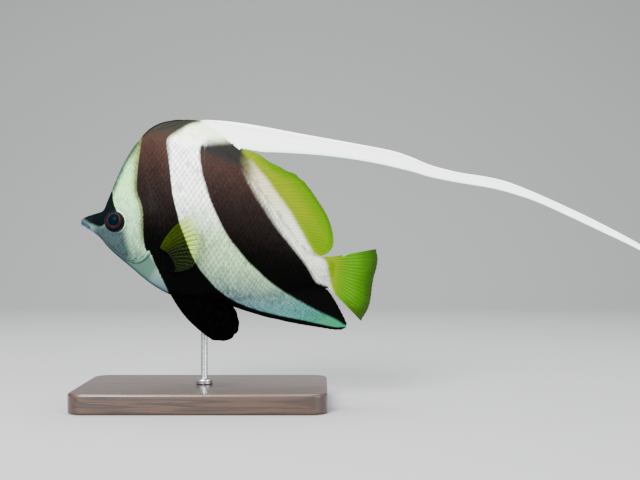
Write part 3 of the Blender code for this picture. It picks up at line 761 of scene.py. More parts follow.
    def build(self, finish: Material, marks: "Markings") -> Piece:
        """The skin: rings of both flanks, closed at the snout and where the tail fin grows."""
        head = np.linspace(0.0, self.split_station, self.head_rings, endpoint=False)
        trunk = np.linspace(self.split_station, len(STATIONS) - 1.0, self.trunk_rings)
        turn, station = np.meshgrid(np.linspace(0.5, 179.5, self.turns), np.concatenate([head, trunk]))
        smooth = self.at(station, turn)
        coat = self.coat_depth * self.net.at("coat", smooth[..., 0], smooth[..., 1])
        flank = self.surface(station, turn, True, coat)
        far = flank[:, ::-1]
        ring = np.concatenate([self.plane.placed(flank[..., 0], flank[..., 1], -flank[..., 2]),
                               self.plane.placed(far[..., 0], far[..., 1], far[..., 2])], axis=1)
        flat = np.concatenate([flank, far], axis=1)
        rows, columns = ring.shape[:2]
        faces = net_faces(rows, columns, around=True)
        ends = np.arange(rows * columns).reshape(rows, columns)
        poles = np.stack([ring[0].mean(axis=0), ring[-1].mean(axis=0)])
        caps = [np.stack([np.roll(edge, -turned), edge, np.full(columns, rows * columns + k)], axis=-1)
                for k, (edge, turned) in enumerate(((ends[0], 1), (ends[-1], -1)))]
        pole_flat = np.stack([flat[0].mean(axis=0), flat[-1].mean(axis=0)])
        flat = np.concatenate([flat.reshape(-1, 3), pole_flat])
        points = np.concatenate([ring.reshape(-1, 3), poles])
        shell = Shell(points, [faces, *caps], marks.values(flat[:, 0], flat[:, 1]))
        piece = outward(shell).build("skin", finish, "skin", sharp=70.0)
        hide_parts("head", "trunk", "tail_stalk", "gill_cover_left", "gill_cover_right")
        return piece


@dataclass(frozen=True)
class Rays:
    """Where a fin's spines and soft rays stand, as shares of its base from front to rear.

    dips counts the gaps between spines, from the front, where the margin dips by dip_depth of the ray.
    """

    spines: tuple[float, ...]
    dips: int
    first: float
    last: float
    count: int
    dip_depth: float = 0.03
    notch: float = 0.008

    def centres(self) -> Array:
        """All rays' shares, from front to rear."""
        soft = np.linspace(self.first, self.last, self.count) if self.count else np.zeros(0)
        return np.concatenate([np.array(self.spines), soft])


@dataclass
class Blade:
    """A fin's blade: a fan of rays from a base to an edge, with the rays raised in its two faces.

    A ray that starts at share t of the base ends at share t^lead of the edge. bend bows the rays, in
    millimetres at the first and the last. sunk lengthens the rays inwards, under the skin.
    """

    rays: Rays
    base: Array
    edge: Array
    lead: float
    bend: Span
    root_half: float
    sunk: float = 2.5
    margin_half: float = 0.13
    thinning: float = 1.5
    rows: int = 56
    columns: int = 12
    ray_width: float = 0.28
    ray_height: Span = (0.16, 0.07)
    spine_width: float = 0.5
    spine_height: Span = (0.3, 0.12)
    branches: tuple[Span, ...] = ((0.3, 0.24), (0.62, 0.12))

    def shares(self) -> Array:
        """Shares of the base where the grid's columns stand, a few to each ray and its membrane."""
        centres = np.concatenate([[0.0], self.rays.centres(), [1.0]])
        knots = np.unique(np.round(np.concatenate([centres, (centres[1:] + centres[:-1]) / 2]), 6))
        return smoothed_steps(knots, self.columns // 2)

    def ridge(self, shares: Array, rows: Array, width: Array) -> tuple[Array, Array]:
        """Height of the rays above the membrane, and a mask that is 1 on a ray and 0 between.

        Each ray is a bell across. A soft ray parts in two and then in four: from each of its branchings the
        parts drift from each other by up to the named share of the room between rays.
        """
        centres = self.rays.centres()
        nearest = np.abs(shares[:, None] - centres[None, :]).argmin(axis=1)
        stiff = (nearest < len(self.rays.spines))[:, None]
        room = (np.gradient(centres)[nearest] if len(centres) > 1 else np.ones(len(shares)))[:, None] * width
        off = (shares - centres[nearest])[:, None] * width
        wide = np.where(stiff, self.spine_width, self.ray_width) * (1 - 0.35 * rows[None, :])
        parts = [off]
        for start, drift in self.branches:
            apart = np.where(stiff, 0.0, drift * room * eased(rows, start, 1.1)[None, :])
            parts = [part + sign * apart for part in parts for sign in (-1, 1)]
        mask = np.max([bell(part, wide) for part in parts], axis=0)
        soft = np.interp(rows, (0, 1), self.ray_height)[None, :]
        hard = np.interp(rows, (0, 1), self.spine_height)[None, :]
        return mask * np.where(stiff, hard, soft), mask

    def reach(self, shares: Array) -> Array:
        """How far each column reaches to the edge: less between spines, and a little less between rays."""
        centres = self.rays.centres()
        reach = np.ones(len(shares))
        for number, (low, high) in enumerate(zip(centres[:-1], centres[1:])):
            sag = np.sin(math.pi * np.clip((shares - low) / (high - low), 0, 1)) ** 2
            depth = self.rays.dip_depth if number < self.rays.dips else self.rays.notch
            reach = reach - depth * sag
        return reach

    def lattice(self) -> dict[str, Array]:
        """Along, up and half thickness of the blade, with its rays, reach and distance from the root."""
        shares = self.shares()
        rows = np.linspace(0, 1, self.rows)
        start, end = share_of(self.base, shares), share_of(self.edge, shares**self.lead)
        ray = end - start
        length = np.linalg.norm(ray, axis=1)
        square = np.stack([-ray[:, 1], ray[:, 0]], axis=-1) / length[:, None]
        sunk = -self.sunk / length
        out = sunk[:, None] + (1 - sunk[:, None]) * rows[None, :]
        out = np.where(out > 0, out * self.reach(shares)[:, None], out)
        bow = np.interp(shares, (0, 1), self.bend)[:, None] * np.sin(math.pi * out.clip(0, 1))
        point = start[:, None] + ray[:, None] * out[..., None] + square[:, None] * bow[..., None]
        spread = np.gradient(point, axis=0)
        width = np.linalg.norm(spread, axis=-1) / np.gradient(shares)[:, None]
        ridge, mask = self.ridge(shares, rows, width)
        web = self.margin_half + (self.root_half - self.margin_half) * (1 - out.clip(0, 1)) ** self.thinning
        fade = eased(out, -0.02, 0.06)
        rim = 1 - 0.5 * eased(out, 0.985, 1.0)
        return {"along": point[..., 0], "up": point[..., 1], "half": (web + ridge * fade) * rim,
                "ray": mask * fade, "reach": out, "root_distance": out * length[:, None],
                "share": np.broadcast_to(shares[:, None], out.shape)}

    def outline(self) -> Array:
        """The blade's outline in the plane, one point a row."""
        grid = self.lattice()
        flat = np.stack([grid["along"], grid["up"]], axis=-1)
        return np.concatenate([flat[:, 0], flat[-1], flat[::-1, -1], flat[0, ::-1]])


def smoothed_steps(knots: Array, count: int) -> Array:
    """Knots with so many even steps between each two of them."""
    parts = [np.linspace(a, b, count, endpoint=False) for a, b in zip(knots[:-1], knots[1:])]
    return np.concatenate([*parts, knots[-1:]])


@dataclass
class MedianFin:
    """A fin on the middle plane."""

    name: str
    nodes: tuple[str, ...]
    slot: str
    blade: Blade

    def build(self, plane: SwimPlane, marks: "Markings", finish: Material) -> Piece:
        """The fin as a closed blade that carries the fish's markings."""
        grid = self.blade.lattice()
        along, up, half = grid["along"], grid["up"], grid["half"]
        values = marks.values(along, up) | {key: grid[key] for key in RAY_VALUES}
        shell = two_faced(plane.placed(along, up, -half), plane.placed(along, up, half), values)
        piece = shell.build(self.name, finish, self.slot)
        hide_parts(*self.nodes)
        return piece


@dataclass
class PairedFin:
    """A fin that grows out of a flank, whose rays leave the skin steeply and then spread away from it.

    root holds the station and turn of the first and the last ray, which start so far under the skin. lobe
    gives how far the fleshy base reaches along the rays, at some shares of them.
    """

    name: str
    slot: str
    root: tuple[Span, Span]
    edge: Points
    rays: Rays
    bend: Span
    sunk: float
    step_out: float
    step_length: float
    flare: float
    root_half: float
    lobe: Points = ((0.0, 0.0), (1.0, 0.0))
    ripple: float = 0.25

    def build(self, body: Body, side: Side, marks: "Markings", finish: Material) -> Piece:
        """One fin of the pair.

        Its middle surface stands out from the skin at its root by
        step_out * (1 - exp(-distance / step_length)) + flare * distance.
        """
        line = np.linspace(*self.root, 9)
        base = body.at(line[:, 0], line[:, 1])
        blade = Blade(self.rays, base[:, :2], smooth_track(self.edge), 1.0, self.bend, self.root_half, 0.0,
                      margin_half=0.08, rows=64, columns=16, ray_width=0.2, ray_height=(0.16, 0.06))
        grid = blade.lattice()
        along, up, half = grid["along"], grid["up"], grid["half"]
        away = grid["root_distance"]
        under = np.interp(blade.shares(), np.linspace(0, 1, len(line)), base[:, 2])[:, None] - self.sunk
        middle = under + self.step_out * (1 - np.exp(-away / self.step_length)) + self.flare * away
        middle = middle + self.ripple * np.sin(along * 0.45) * eased(away, 8.0, 26.0)
        ends = [side.value * (middle - half), side.value * (middle + half)]
        low, high = (body.plane.placed(along, up, end) for end in ends[:: side.value])
        seen = body.plane.behind(np.stack([along, up], axis=-1), middle, marks.net.at("height", along, up))
        values = marks.values(seen[..., 0], seen[..., 1]) | {key: grid[key] for key in RAY_VALUES}
        values["past_lobe"] = away - read_off(self.lobe, grid["share"])
        piece = two_faced(low, high, values).build(f"{self.name}_blade_{side.word}", finish, self.slot)
        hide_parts(f"{self.name}_{side.word}")
        return piece


RAY_VALUES = ("ray", "reach", "root_distance", "share")
SEAM_FRONT, SEAM_REAR = (60.5, 74.3), (84.6, 62.6)
SAIL_START, DORSAL_JOINT, DORSAL_END = 8.15, 13.4, 18.3
ANAL_START, ANAL_END = 13.0, 18.3
SAIL_EDGE = ((23.9, 56.7), (29.0, 63.8), (36.2, 69.1), (45.0, 72.3), (54.0, 73.9), SEAM_FRONT)
SOFT_DORSAL_EDGE = (
    SEAM_REAR, (94.5, 62.0), (104.3, 58.7), (114.0, 55.9), (123.0, 53.6), (130.5, 48.4), (138.0, 41.4),
    (145.5, 33.4), (150.6, 24.6), (152.6, 17.0), (151.0, 12.2), (147.6, 9.2), (144.0, 8.1),
)
ANAL_EDGE = (
    (92.5, -31.2), (104.6, -33.2), (118.4, -34.6), (130.0, -35.0), (142.2, -34.9), (154.8, -34.4),
    (165.0, -33.8), (169.8, -32.2), (171.0, -29.4), (168.8, -25.8), (164.4, -20.4), (159.6, -14.9),
    (155.0, -10.8),
)
TAIL_EDGE = (
    (178.8, 19.9), (181.0, 14.8), (181.6, 9.0), (181.2, 3.0), (181.4, -3.5), (182.0, -10.0), (181.7, -17.0),
    (178.9, -25.3),
)
PECTORAL_EDGE = (
    (69.7, 19.8), (73.1, 15.0), (75.5, 9.3), (76.8, 3.3), (76.9, -2.9), (75.8, -9.2), (72.4, -14.2),
    (66.6, -17.6), (60.6, -19.0),
)
PELVIC_EDGE = (
    (93.7, -53.7), (99.8, -52.7), (104.3, -50.8), (106.0, -46.7), (104.8, -41.3), (101.8, -35.6),
    (97.0, -30.8),
)
PENNANT_TOP = (
    (57.0, 74.2), (60.5, 75.2), (66.1, 76.1), (75.2, 77.3), (93.7, 78.5), (118.5, 79.1), (146.4, 80.1),
    (174.3, 80.9), (187.1, 79.8), (202.0, 77.3), (219.0, 76.7), (237.3, 77.7), (251.1, 77.2), (270.0, 74.0),
    (290.0, 69.6), (309.0, 64.9), (335.3, 57.2), (362.0, 47.4), (378.0, 40.6),
)
PENNANT_FOOT = (
    (84.6, 62.9), (98.8, 63.6), (109.0, 65.4), (136.2, 69.3), (163.8, 71.3), (188.9, 71.2), (202.5, 70.3),
    (220.1, 70.6), (238.6, 71.5), (252.4, 71.2), (270.6, 69.1), (290.5, 64.8), (309.6, 60.2), (336.0, 53.6),
    (361.0, 45.2), (378.0, 38.9),
)


@dataclass
class Fins:
    """Every fin, with the sizes that set each one's rays."""

    body: Body
    sail_rays: Rays = Rays((0.02, 0.09, 0.17, 0.30, 0.48, 0.66, 0.84), 2, 0.0, 0.0, 0)
    dorsal_rays: Rays = Rays((0.02, 0.09, 0.16, 0.23), 3, 0.29, 0.985, 24)
    anal_rays: Rays = Rays((0.03, 0.12, 0.22), 2, 0.29, 0.985, 18)
    tail_rays: Rays = Rays((), 0, 0.02, 0.98, 17)
    pectoral_rays: Rays = Rays((0.03,), 0, 0.1, 0.97, 14)
    pelvic_rays: Rays = Rays((0.05,), 0, 0.2, 0.95, 5)

    def outline(self, first: float, last: float, turn: float) -> Array:
        """The body's back (turn 0) or keel (turn 180) between two stations."""
        return self.body.at(np.linspace(first, last, 80), turn)[:, :2]

    def whole_outline(self) -> Array:
        """The fish's outline without the pennant: back, sail, soft dorsal, tail, anal fin and keel."""
        last = len(STATIONS) - 1.0
        return np.vstack([self.outline(0.0, SAIL_START, 0.0), smooth_track(SAIL_EDGE, 6),
                          smooth_track(SOFT_DORSAL_EDGE, 6), self.outline(DORSAL_END + 0.2, last, 0.0),
                          smooth_track(TAIL_EDGE, 4), self.outline(ANAL_END + 0.2, last, 180.0)[::-1],
                          smooth_track(ANAL_EDGE, 6)[::-1], self.outline(0.0, ANAL_START, 180.0)[::-1]])

    def median(self) -> list[MedianFin]:
        """The fins on the middle plane, with the pennant's sail first."""
        seam = np.linspace(SEAM_FRONT, SEAM_REAR, 13)[1:]
        sail_edge = np.vstack([smooth_track(SAIL_EDGE), seam])
        tail_root = np.array([(150.0, 8.5), (153.5, -8.2)])
        return [
            MedianFin("dorsal_sail", ("dorsal_fin_spines",), "fin_white", Blade(
                self.sail_rays, self.outline(SAIL_START, DORSAL_JOINT, 0.0), sail_edge, 0.42, (0.0, 0.0),
                1.35, columns=20)),
            MedianFin("dorsal_soft", ("dorsal_fin_soft",), "fin_yellow", Blade(
                self.dorsal_rays, self.outline(DORSAL_JOINT, DORSAL_END, 0.0), smooth_track(SOFT_DORSAL_EDGE),
                0.55, (0.0, 1.0), 1.35, columns=16)),
            MedianFin("anal_blade", ("anal_fin",), "fin_white", Blade(
                self.anal_rays, self.outline(ANAL_START, ANAL_END, 180.0), smooth_track(ANAL_EDGE), 0.6,
                (0.0, 0.0), 1.35, columns=16)),
            MedianFin("tail_blade", ("caudal_fin",), "fin_yellow", Blade(
                self.tail_rays, tail_root, smooth_track(TAIL_EDGE), 1.0, (0.0, 0.0), 1.9, sunk=3.0,
                thinning=3.0, margin_half=0.1, columns=26, ray_width=0.2,
                branches=((0.12, 0.25), (0.4, 0.125)))),
        ]

    def paired(self) -> list[PairedFin]:
        """The pectoral and the pelvic fins."""
        return [
            PairedFin("pectoral_fin", "fin_yellow", ((7.36, 126.0), (8.22, 142.0)), PECTORAL_EDGE,
                      self.pectoral_rays, (3.0, 0.0), 1.2, 5.2, 2.5, 0.34, 1.3,
                      ((0.0, 2.0), (0.15, 3.2), (0.3, 5.0), (0.5, 7.3), (0.7, 9.5), (0.85, 11.0),
                       (1.0, 9.5))),
            PairedFin("pelvic_fin", "fin_black", ((9.75, 166.0), (10.55, 166.0)), PELVIC_EDGE,
                      self.pelvic_rays, (-2.8, 0.0), 1.0, 1.0, 3.0, 0.28, 1.0),
        ]


@dataclass
class Pennant:
    """The long white streamer that grows from the sail's rear margin behind the fourth spine.

    spine is the half thickness of its stiff upper edge at the sail and at the tip, spine_down and
    spine_width are shares of its height, and lap is how far its foot reaches over the sail.
    """

    plane: SwimPlane
    columns: int = 620
    rows: int = 18
    spine: Span = (0.6, 0.28)
    spine_down: float = 0.1
    spine_width: float = 0.1
    margin_half: float = 0.16
    ripple: float = 0.03
    lap: float = 1.4

    def build(self, finish: Material) -> Piece:
        """The streamer as a closed blade, thick along the spine by its upper edge.

        Over a place along the fish its height runs from the top curve to the foot curve, and its half
        thickness is a bell round the spine over a thin membrane.
        """
        along = np.linspace(SEAM_FRONT[0] - 3.0, PENNANT_TOP[-1][0], self.columns)
        top, foot = (np.interp(along, *smooth_track(points).T) for points in (PENNANT_TOP, PENNANT_FOOT))
        slope = (SEAM_REAR[1] - SEAM_FRONT[1]) / (SEAM_REAR[0] - SEAM_FRONT[0])
        seam = SEAM_FRONT[1] + slope * (along - SEAM_FRONT[0]) - self.lap
        foot = np.where(along < SEAM_REAR[0], np.maximum(seam, foot[0] - 9.0), foot)
        foot = np.minimum(foot, top - 0.35)
        down = np.linspace(0, 1, self.rows)
        taper = np.interp(along, (SEAM_FRONT[0], PENNANT_TOP[-1][0]), self.spine)
        ridge = bell(down, self.spine_width, middle=self.spine_down)
        edge = eased(down, 0.0, 0.04) * 0.6 + 0.4
        drop = (foot - top)[:, None] * down[None, :]
        ripple = self.ripple * np.sin(9 * math.pi * down)[None, :] * (1 - ridge)[None, :]
        half = self.margin_half + (taper[:, None] - self.margin_half) * ridge[None, :] + ripple
        half = half * edge[None, :]
        up = top[:, None] + drop
        away = np.broadcast_to(along[:, None], up.shape)
        values = {"across": np.broadcast_to(down[None, :], up.shape)}
        shell = two_faced(self.plane.placed(away, up, -half), self.plane.placed(away, up, half), values)
        piece = shell.build("pennant", finish, "fin_white")
        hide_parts("pennant_root", "pennant_middle", "pennant_tip")
        return piece


# Markings


BAND_ONE_FRONT = (
    (24.7, 62.0), (24.7, 57.0), (25.1, 49.0), (26.2, 36.7), (28.4, 24.7), (32.5, 17.5), (35.2, 10.6),
    (37.7, -1.3), (39.8, -7.4), (42.0, -10.6), (44.0, -10.2), (47.3, -15.6), (51.6, -20.9), (55.7, -26.3),
    (59.9, -31.8),
)
BAND_ONE_REAR = (
    (58.3, 73.4), (53.5, 71.4), (48.8, 68.0), (43.6, 63.7), (40.4, 60.3), (40.0, 57.4), (41.5, 52.0),
    (43.7, 46.7), (47.2, 36.2), (50.5, 26.3), (54.5, 17.8), (58.4, 9.9), (64.0, 1.1), (69.5, -7.1),
    (75.3, -13.9), (81.3, -18.9), (88.0, -23.7), (97.6, -28.2), (107.4, -30.5), (118.2, -31.7),
    (129.4, -32.1), (141.8, -32.0), (154.3, -32.1), (163.7, -32.2), (168.8, -31.0),
)
BAND_TWO_FRONT = (
    (92.0, 63.0), (88.0, 67.5), (82.0, 68.6), (76.5, 66.6), (72.0, 65.0), (67.1, 63.6), (63.2, 62.0),
    (60.6, 59.6), (60.3, 56.6), (61.9, 50.6), (65.2, 42.0), (69.8, 33.6), (74.8, 25.1), (80.0, 18.0),
    (86.6, 10.0), (93.5, 3.8), (100.9, -2.2), (108.8, -7.4), (117.4, -12.4), (125.7, -16.3), (134.4, -19.5),
    (142.6, -22.1), (151.2, -24.6), (159.3, -26.6), (164.6, -27.9), (169.0, -29.8),
)
BAND_TWO_REAR = (
    (154.0, -8.7), (150.4, -7.9), (146.7, -6.9), (140.7, 0.0), (135.2, 5.0), (129.1, 10.0), (117.4, 19.9),
    (107.2, 30.2), (99.2, 38.6), (93.8, 45.4), (89.8, 52.0), (88.4, 57.0), (92.0, 63.0),
)
DORSAL_YELLOW = (
    (86.6, 61.0), (91.2, 57.8), (95.8, 54.5), (100.0, 51.2), (104.6, 47.9), (111.7, 41.0), (120.5, 33.1),
    (130.2, 22.7), (139.0, 12.1), (142.1, 9.0), (144.9, 7.7),
)
TAIL_YELLOW = ((143.5, 8.6), (149.3, 6.3), (152.6, 0.6), (156.6, -8.9))
EYE_MASK = (
    (-3.0, 1.2), (1.4, 0.3), (3.8, -0.6), (6.5, -1.5), (10.1, -2.0), (13.5, -1.0), (16.5, 2.0), (21.0, 3.4),
    (21.6, 8.6), (18.6, 12.6), (16.2, 16.6), (15.0, 19.5), (12.0, 22.5),
)
CHEEK_SHADE = (
    (5.5, -2.6), (8.0, -0.5), (12.0, 1.0), (16.0, 2.0), (21.0, 1.0), (25.0, 0.5), (28.6, -1.2), (30.4, -4.5),
    (32.0, -9.0), (33.2, -14.0), (34.0, -20.0), (33.0, -25.0), (20.0, -24.0), (7.0, -13.0),
)
# The throat, whose white is darkened by painted shade.
THROAT = (
    (33.1, -17.2), (36.5, -18.6), (38.3, -18.0), (40.1, -16.7), (42.9, -14.2), (44.6, -10.9), (60.5, -31.5),
    (52.0, -31.5), (40.0, -25.0), (33.0, -20.0),
)


@dataclass
class Markings:
    """The fish's bands, patches and painted shade of cheek and throat, as distances inside their outlines on
    the net.

    Marks were read off the picture at the scale of the middle plane, so those on a flank are drawn in towards
    the middle of the picture by how far that flank stands out.
    """

    plane: SwimPlane
    net: Net
    far_below: Points = ((171.5, -31.0), (180.0, -70.0), (60.0, -70.0))
    sharp_edge: float = 0.5
    soft_edge: float = 1.4
    names: tuple[str, ...] = ("first_band", "second_band", "yellow", "mask", "cheek", "throat", "inset")

    def on_flank(self, points: Union[Points, Array]) -> Array:
        """The smooth curve through some marks, drawn in onto the flank."""
        track = smooth_track(points, 4)
        return self.plane.drawn_in(track, self.net.at("height", track[:, 0], track[:, 1]))

    def inside(self, *parts: Union[Points, Array]) -> Array:
        """How far each knot lies inside the outline made of some stretches in turn."""
        return depth_inside(np.vstack([np.asarray(part) for part in parts]), self.net.along, self.net.up)

    def lay(self) -> None:
        """Works out each marking's layer of the net, in units of the softness of its edge."""
        along, up, layers = self.net.along, self.net.up, self.net.layers
        front, rear = self.on_flank(BAND_ONE_FRONT), self.on_flank(BAND_ONE_REAR)
        over = [(rear[0][0], 90.0), (front[0][0], 90.0)]
        first = self.inside(front, self.far_below[::-1], rear[::-1], over)
        layers["first_band"] = first / (self.sharp_edge + 1.0 * eased(up, 61.0, 66.0))
        front, rear = self.on_flank(BAND_TWO_FRONT), self.on_flank(BAND_TWO_REAR)
        second = self.inside(front, [(185.0, -30.0), (185.0, -7.3)], rear)
        past_front = self.inside(front[30:], [(200.0, -30.0), (200.0, 90.0), (40.0, 90.0)])
        rear_edge = self.soft_edge + 1.1 * eased(up, 5.0, 35.0) + 1.2 * eased(up, 38.0, 54.0)
        soft = np.where(np.abs(past_front) < 2.5, 1.0, rear_edge)
        layers["second_band"] = second / (soft + 0.4 * eased(up, 55.0, 61.0))
        dorsal = self.inside(self.on_flank(DORSAL_YELLOW), [(160.0, 5.0), (165.0, 75.0), (86.0, 75.0)])
        beyond = [(160.0, -14.0), (190.0, -40.0), (190.0, 40.0), (160.0, 12.0), (150.0, 9.0)]
        layers["yellow"] = np.maximum(dorsal, self.inside(self.on_flank(TAIL_YELLOW), beyond))
        mask = self.inside(smooth_track(EYE_MASK, 4), [(8.0, 28.0), (-6.0, 10.0)])
        layers["mask"] = mask / (0.45 + 0.9 * eased(along, 14.0, 9.0))
        layers["cheek"] = self.inside(smooth_track(CHEEK_SHADE, 3))
        layers["throat"] = self.inside(THROAT)

    def values(self, along: Array, up: Array) -> dict[str, Array]:
        """The attributes that a mesh carries for the coat's finish."""
        return {name: self.net.at(name, along, up) for name in self.names} | {"along": along, "up": up}


# Finishes


@dataclass(frozen=True)
class CoatFinish:
    """White skin, scales and scaled fins with two dark bands, a dark mask and a yellow rear.

    Every piece that wears it carries the markings as attributes, so they run on from one to the next.
    """

    white_high: Colour = paint(0.97, 0.98, 0.94)
    # white_mid_shaded and white_low_shaded: the white darkened and made bluer downwards, painted shade of
    # light that falls off below.
    white_mid_shaded: Colour = paint(0.33, 0.48, 0.26)
    white_low_shaded: Colour = paint(0.060, 0.103, 0.128)
    sail_white: Colour = paint(0.82, 0.93, 0.70)
    # cool and turquoise: the low rear whites, darkened further as painted shade.
    cool: Colour = paint(0.051, 0.158, 0.147)
    turquoise: Colour = paint(0.0196, 0.138, 0.070)
    cream: Colour = paint(0.42, 0.76, 0.30)
    cream_high: Colour = paint(0.066, 0.112, 0.032)
    cream_low: Colour = paint(0.31, 0.53, 0.30)
    # face_low, cheek and throat: painted shade low on the face, under the eye and on the throat.
    face_low: Colour = paint(0.080, 0.135, 0.120)
    tint: Colour = paint(0.24, 0.31, 0.105)
    cheek: Colour = paint(0.038, 0.062, 0.065)
    throat: Colour = paint(0.050, 0.104, 0.083)
    # The blue, teal and green edges: painted shade where the outline turns away from the light.
    edge_shade_blue: Colour = paint(0.014, 0.036, 0.046)
    edge_shade_teal: Colour = paint(0.013, 0.033, 0.035)
    edge_shade_green: Colour = paint(0.050, 0.090, 0.025)
    snout: Colour = paint(0.075, 0.130, 0.150)
    # The dark teal on the snout's top: a painted teal sheen.
    snout_teal_sheen: Colour = paint(0.020, 0.044, 0.052)
    fringe_high: Colour = paint(0.14, 0.19, 0.06)
    fringe_low: Colour = paint(0.045, 0.050, 0.030)
    olive: Colour = paint(0.0155, 0.0187, 0.0145)
    grey: Colour = paint(0.0150, 0.0138, 0.0134)
    # warm and brown: the bands' own brownish black, lit brighter upwards as painted light.
    warm: Colour = paint(0.033, 0.0165, 0.0130)
    brown: Colour = paint(0.0090, 0.0055, 0.0050)
    black: Colour = paint(0.0004, 0.0006, 0.0004)
    mask: Colour = paint(0.0008, 0.0024, 0.0030)
    mask_snout: Colour = paint(0.0005, 0.0017, 0.0024)
    rear_high: Colour = paint(0.47, 0.42, 0.29)
    rear_white: Colour = paint(0.53, 0.53, 0.45)
    stalk: Colour = paint(0.50, 0.52, 0.45)
    tan: Colour = paint(0.085, 0.085, 0.035)
    yellow_in: Colour = paint(0.120, 0.160, 0.0)
    yellow_out: Colour = paint(0.050, 0.132, 0.0)
    yellow_rim: Colour = paint(0.034, 0.097, 0.0)

    def ground(self, look: Shading, along: Number, up: Number) -> object:
        """The pale ground: whites from high to low with painted shade below, the rear, the face and the
        painted shade of the blue edges.
        """
        soft = (look.noise(7.0) - 0.5) * 3.0
        height, slant, run = up + soft, along + up, along + up * -1.1 + soft
        rear = look.coated(self.rear_white, (height.eased(20.0, 44.0), self.rear_high),
                           (height.eased(12.0, 0.0), self.stalk))
        tanned = look.layer("second_band").eased(-2.4, -0.4) * slant.eased(124.0, 132.0)
        within = along.eased(60.0, 56.0) * look.layer("first_band").eased(8.0, 2.0)
        within = within * (along - up * 0.5).eased(64.0, 58.0) * (along + up * 0.25).eased(50.0, 46.0)
        # below and front: masks of painted shade along the low and the front edges of the outline.
        below = look.layer("inset").eased(2.4, 0.3) * along.eased(64.0, 58.0) * along.eased(8.0, 12.0)
        front = look.layer("inset").eased(4.6, 0.6) * along.eased(34.0, 26.0)
        return look.coated(
            # Darker and bluer downwards and at the low rear: painted shade.
            self.white_low_shaded,
            (height.eased(-34.0, 4.0), self.white_mid_shaded),
            (height.eased(2.0, 32.0), self.white_high),
            (run.eased(130.0, 178.0) * up.eased(-2.0, -12.0), self.cool),
            (run.eased(165.0, 196.0) * up.eased(-10.0, -20.0), self.turquoise),
            (slant.eased(124.0, 132.0) * up.eased(-12.0, -6.0), rear),
            (tanned * up.eased(40.0, 54.0) * along.eased(80.0, 86.0), self.tan),
            (up.eased(60.5, 65.0), self.sail_white),
            (within, self.face(look, along, up, soft)),
            # Painted shade along the low and the front edges of the outline.
            (below * up.eased(0.0, -5.0) * 0.9, self.edge_shade_teal),
            (front * up.eased(10.0, 16.0) * 0.92,
             look.mixed(up.eased(42.0, 56.0), self.edge_shade_blue, self.edge_shade_green)))

    def face(self, look: Shading, along: Number, up: Number, soft: Number) -> object:
        """The face: cream above, darker and cooler below as painted shade, with the shaded cheek, the jaw and
        the shaded throat.
        """
        height = up + soft
        by_band = (look.layer("first_band") + soft).eased(-11.0, -2.0) * up.eased(-6.0, 6.0) * 0.75
        return look.coated(
            # Darker downwards, on the cheek and on the throat: painted shade.
            self.face_low,
            ((up + soft * 0.5).eased(-19.0, -3.0), self.cream_low),
            (height.eased(6.0, 26.0), self.cream),
            (height.eased(38.0, 54.0), self.cream_high),
            (by_band, self.tint),
            ((look.layer("cheek") + soft * 0.3).eased(-4.2, 3.6), self.cheek),
            # The snout: pale blue below, a painted teal sheen on top.
            (along.eased(11.0, 5.0) * 0.9, look.mixed(up.eased(-0.4, -2.2), self.snout_teal_sheen, self.snout)),
            (look.layer("throat").eased(-0.5, 0.6), self.throat))

    def bands(self, look: Shading, along: Number, up: Number, soft: Number) -> object:
        """The bands' dark: black below, warmer upwards in fine streaks, partly their own brown and partly
        painted light from above, and olive or grey on top.
        """
        streaks = (look.noise(0.9, 3.0, look.stretched((1.0, 1.0, 0.35), 0.2)) - 0.5) * 34.0
        crown = look.layer("inset").eased(1.2, 0.3) * up.eased(40.0, 56.0) * along.eased(52.0, 44.0)
        return look.coated(
            self.black,
            # Brown and warm upwards: the real brownish black, with painted light on the upper part.
            ((up + streaks).eased(-4.0, 34.0), self.brown),
            ((up + streaks).eased(24.0, 62.0), self.warm),
            ((up - along * 0.2 + soft).eased(50.0, 60.0) * 0.85, self.olive),
            (along.eased(56.0, 60.0) * (up + along * 0.15 + soft).eased(60.0, 69.0), self.grey),
            (crown, self.black))

    def gold(self, look: Shading, up: Number, soft: Number, depth: Number) -> object:
        """The yellow of the rear: warm inside, greener low down and outwards, deepest at the rim."""
        inset = look.layer("inset")
        green = depth.eased(5.0, 17.0).most(inset.eased(7.5, 2.0) * depth.eased(2.0, 8.0))
        green = green.most((up + soft).eased(38.0, 14.0) * depth.eased(0.5, 4.0) * 0.7)
        return look.coated(self.yellow_in, (green, self.yellow_out),
                           (inset.eased(3.0, 0.8) * depth.eased(8.0, 14.0), self.yellow_rim))

    def material(self, name: str, scaled: bool = False, finned: bool = False) -> Material:
        """The finish for the skin, for scales, or for a fin.

        Args:
            name: The material's name.
            scaled: Whether the piece is scales, which carry a net of painted shade and a tone.
            finned: Whether the piece is a fin, which carries rays.

        Returns:
            The material.
        """
        look = Shading(name)
        along, up = look.layer("along"), look.layer("up")
        fine, broad = look.noise(0.5, 3.0), look.noise(6.0, 2.0)
        wobble = (fine - 0.5) * 0.9 + (broad - 0.5) * 0.5
        soft = (broad - 0.5) * 6.0
        first = look.layer("first_band") + wobble
        second = look.layer("second_band") + wobble * 0.7
        near = first.eased(-6.0, -0.8) * up.eased(-14.0, -6.0) * (along - up * 0.1).eased(44.0, 38.0)
        fringe = look.mixed(up.eased(26.0, 46.0), self.fringe_low, self.fringe_high)
        colour = look.mixed(near * (look.noise(2.2) * 0.6 + 0.55), self.ground(look, along, up), fringe)
        if scaled:
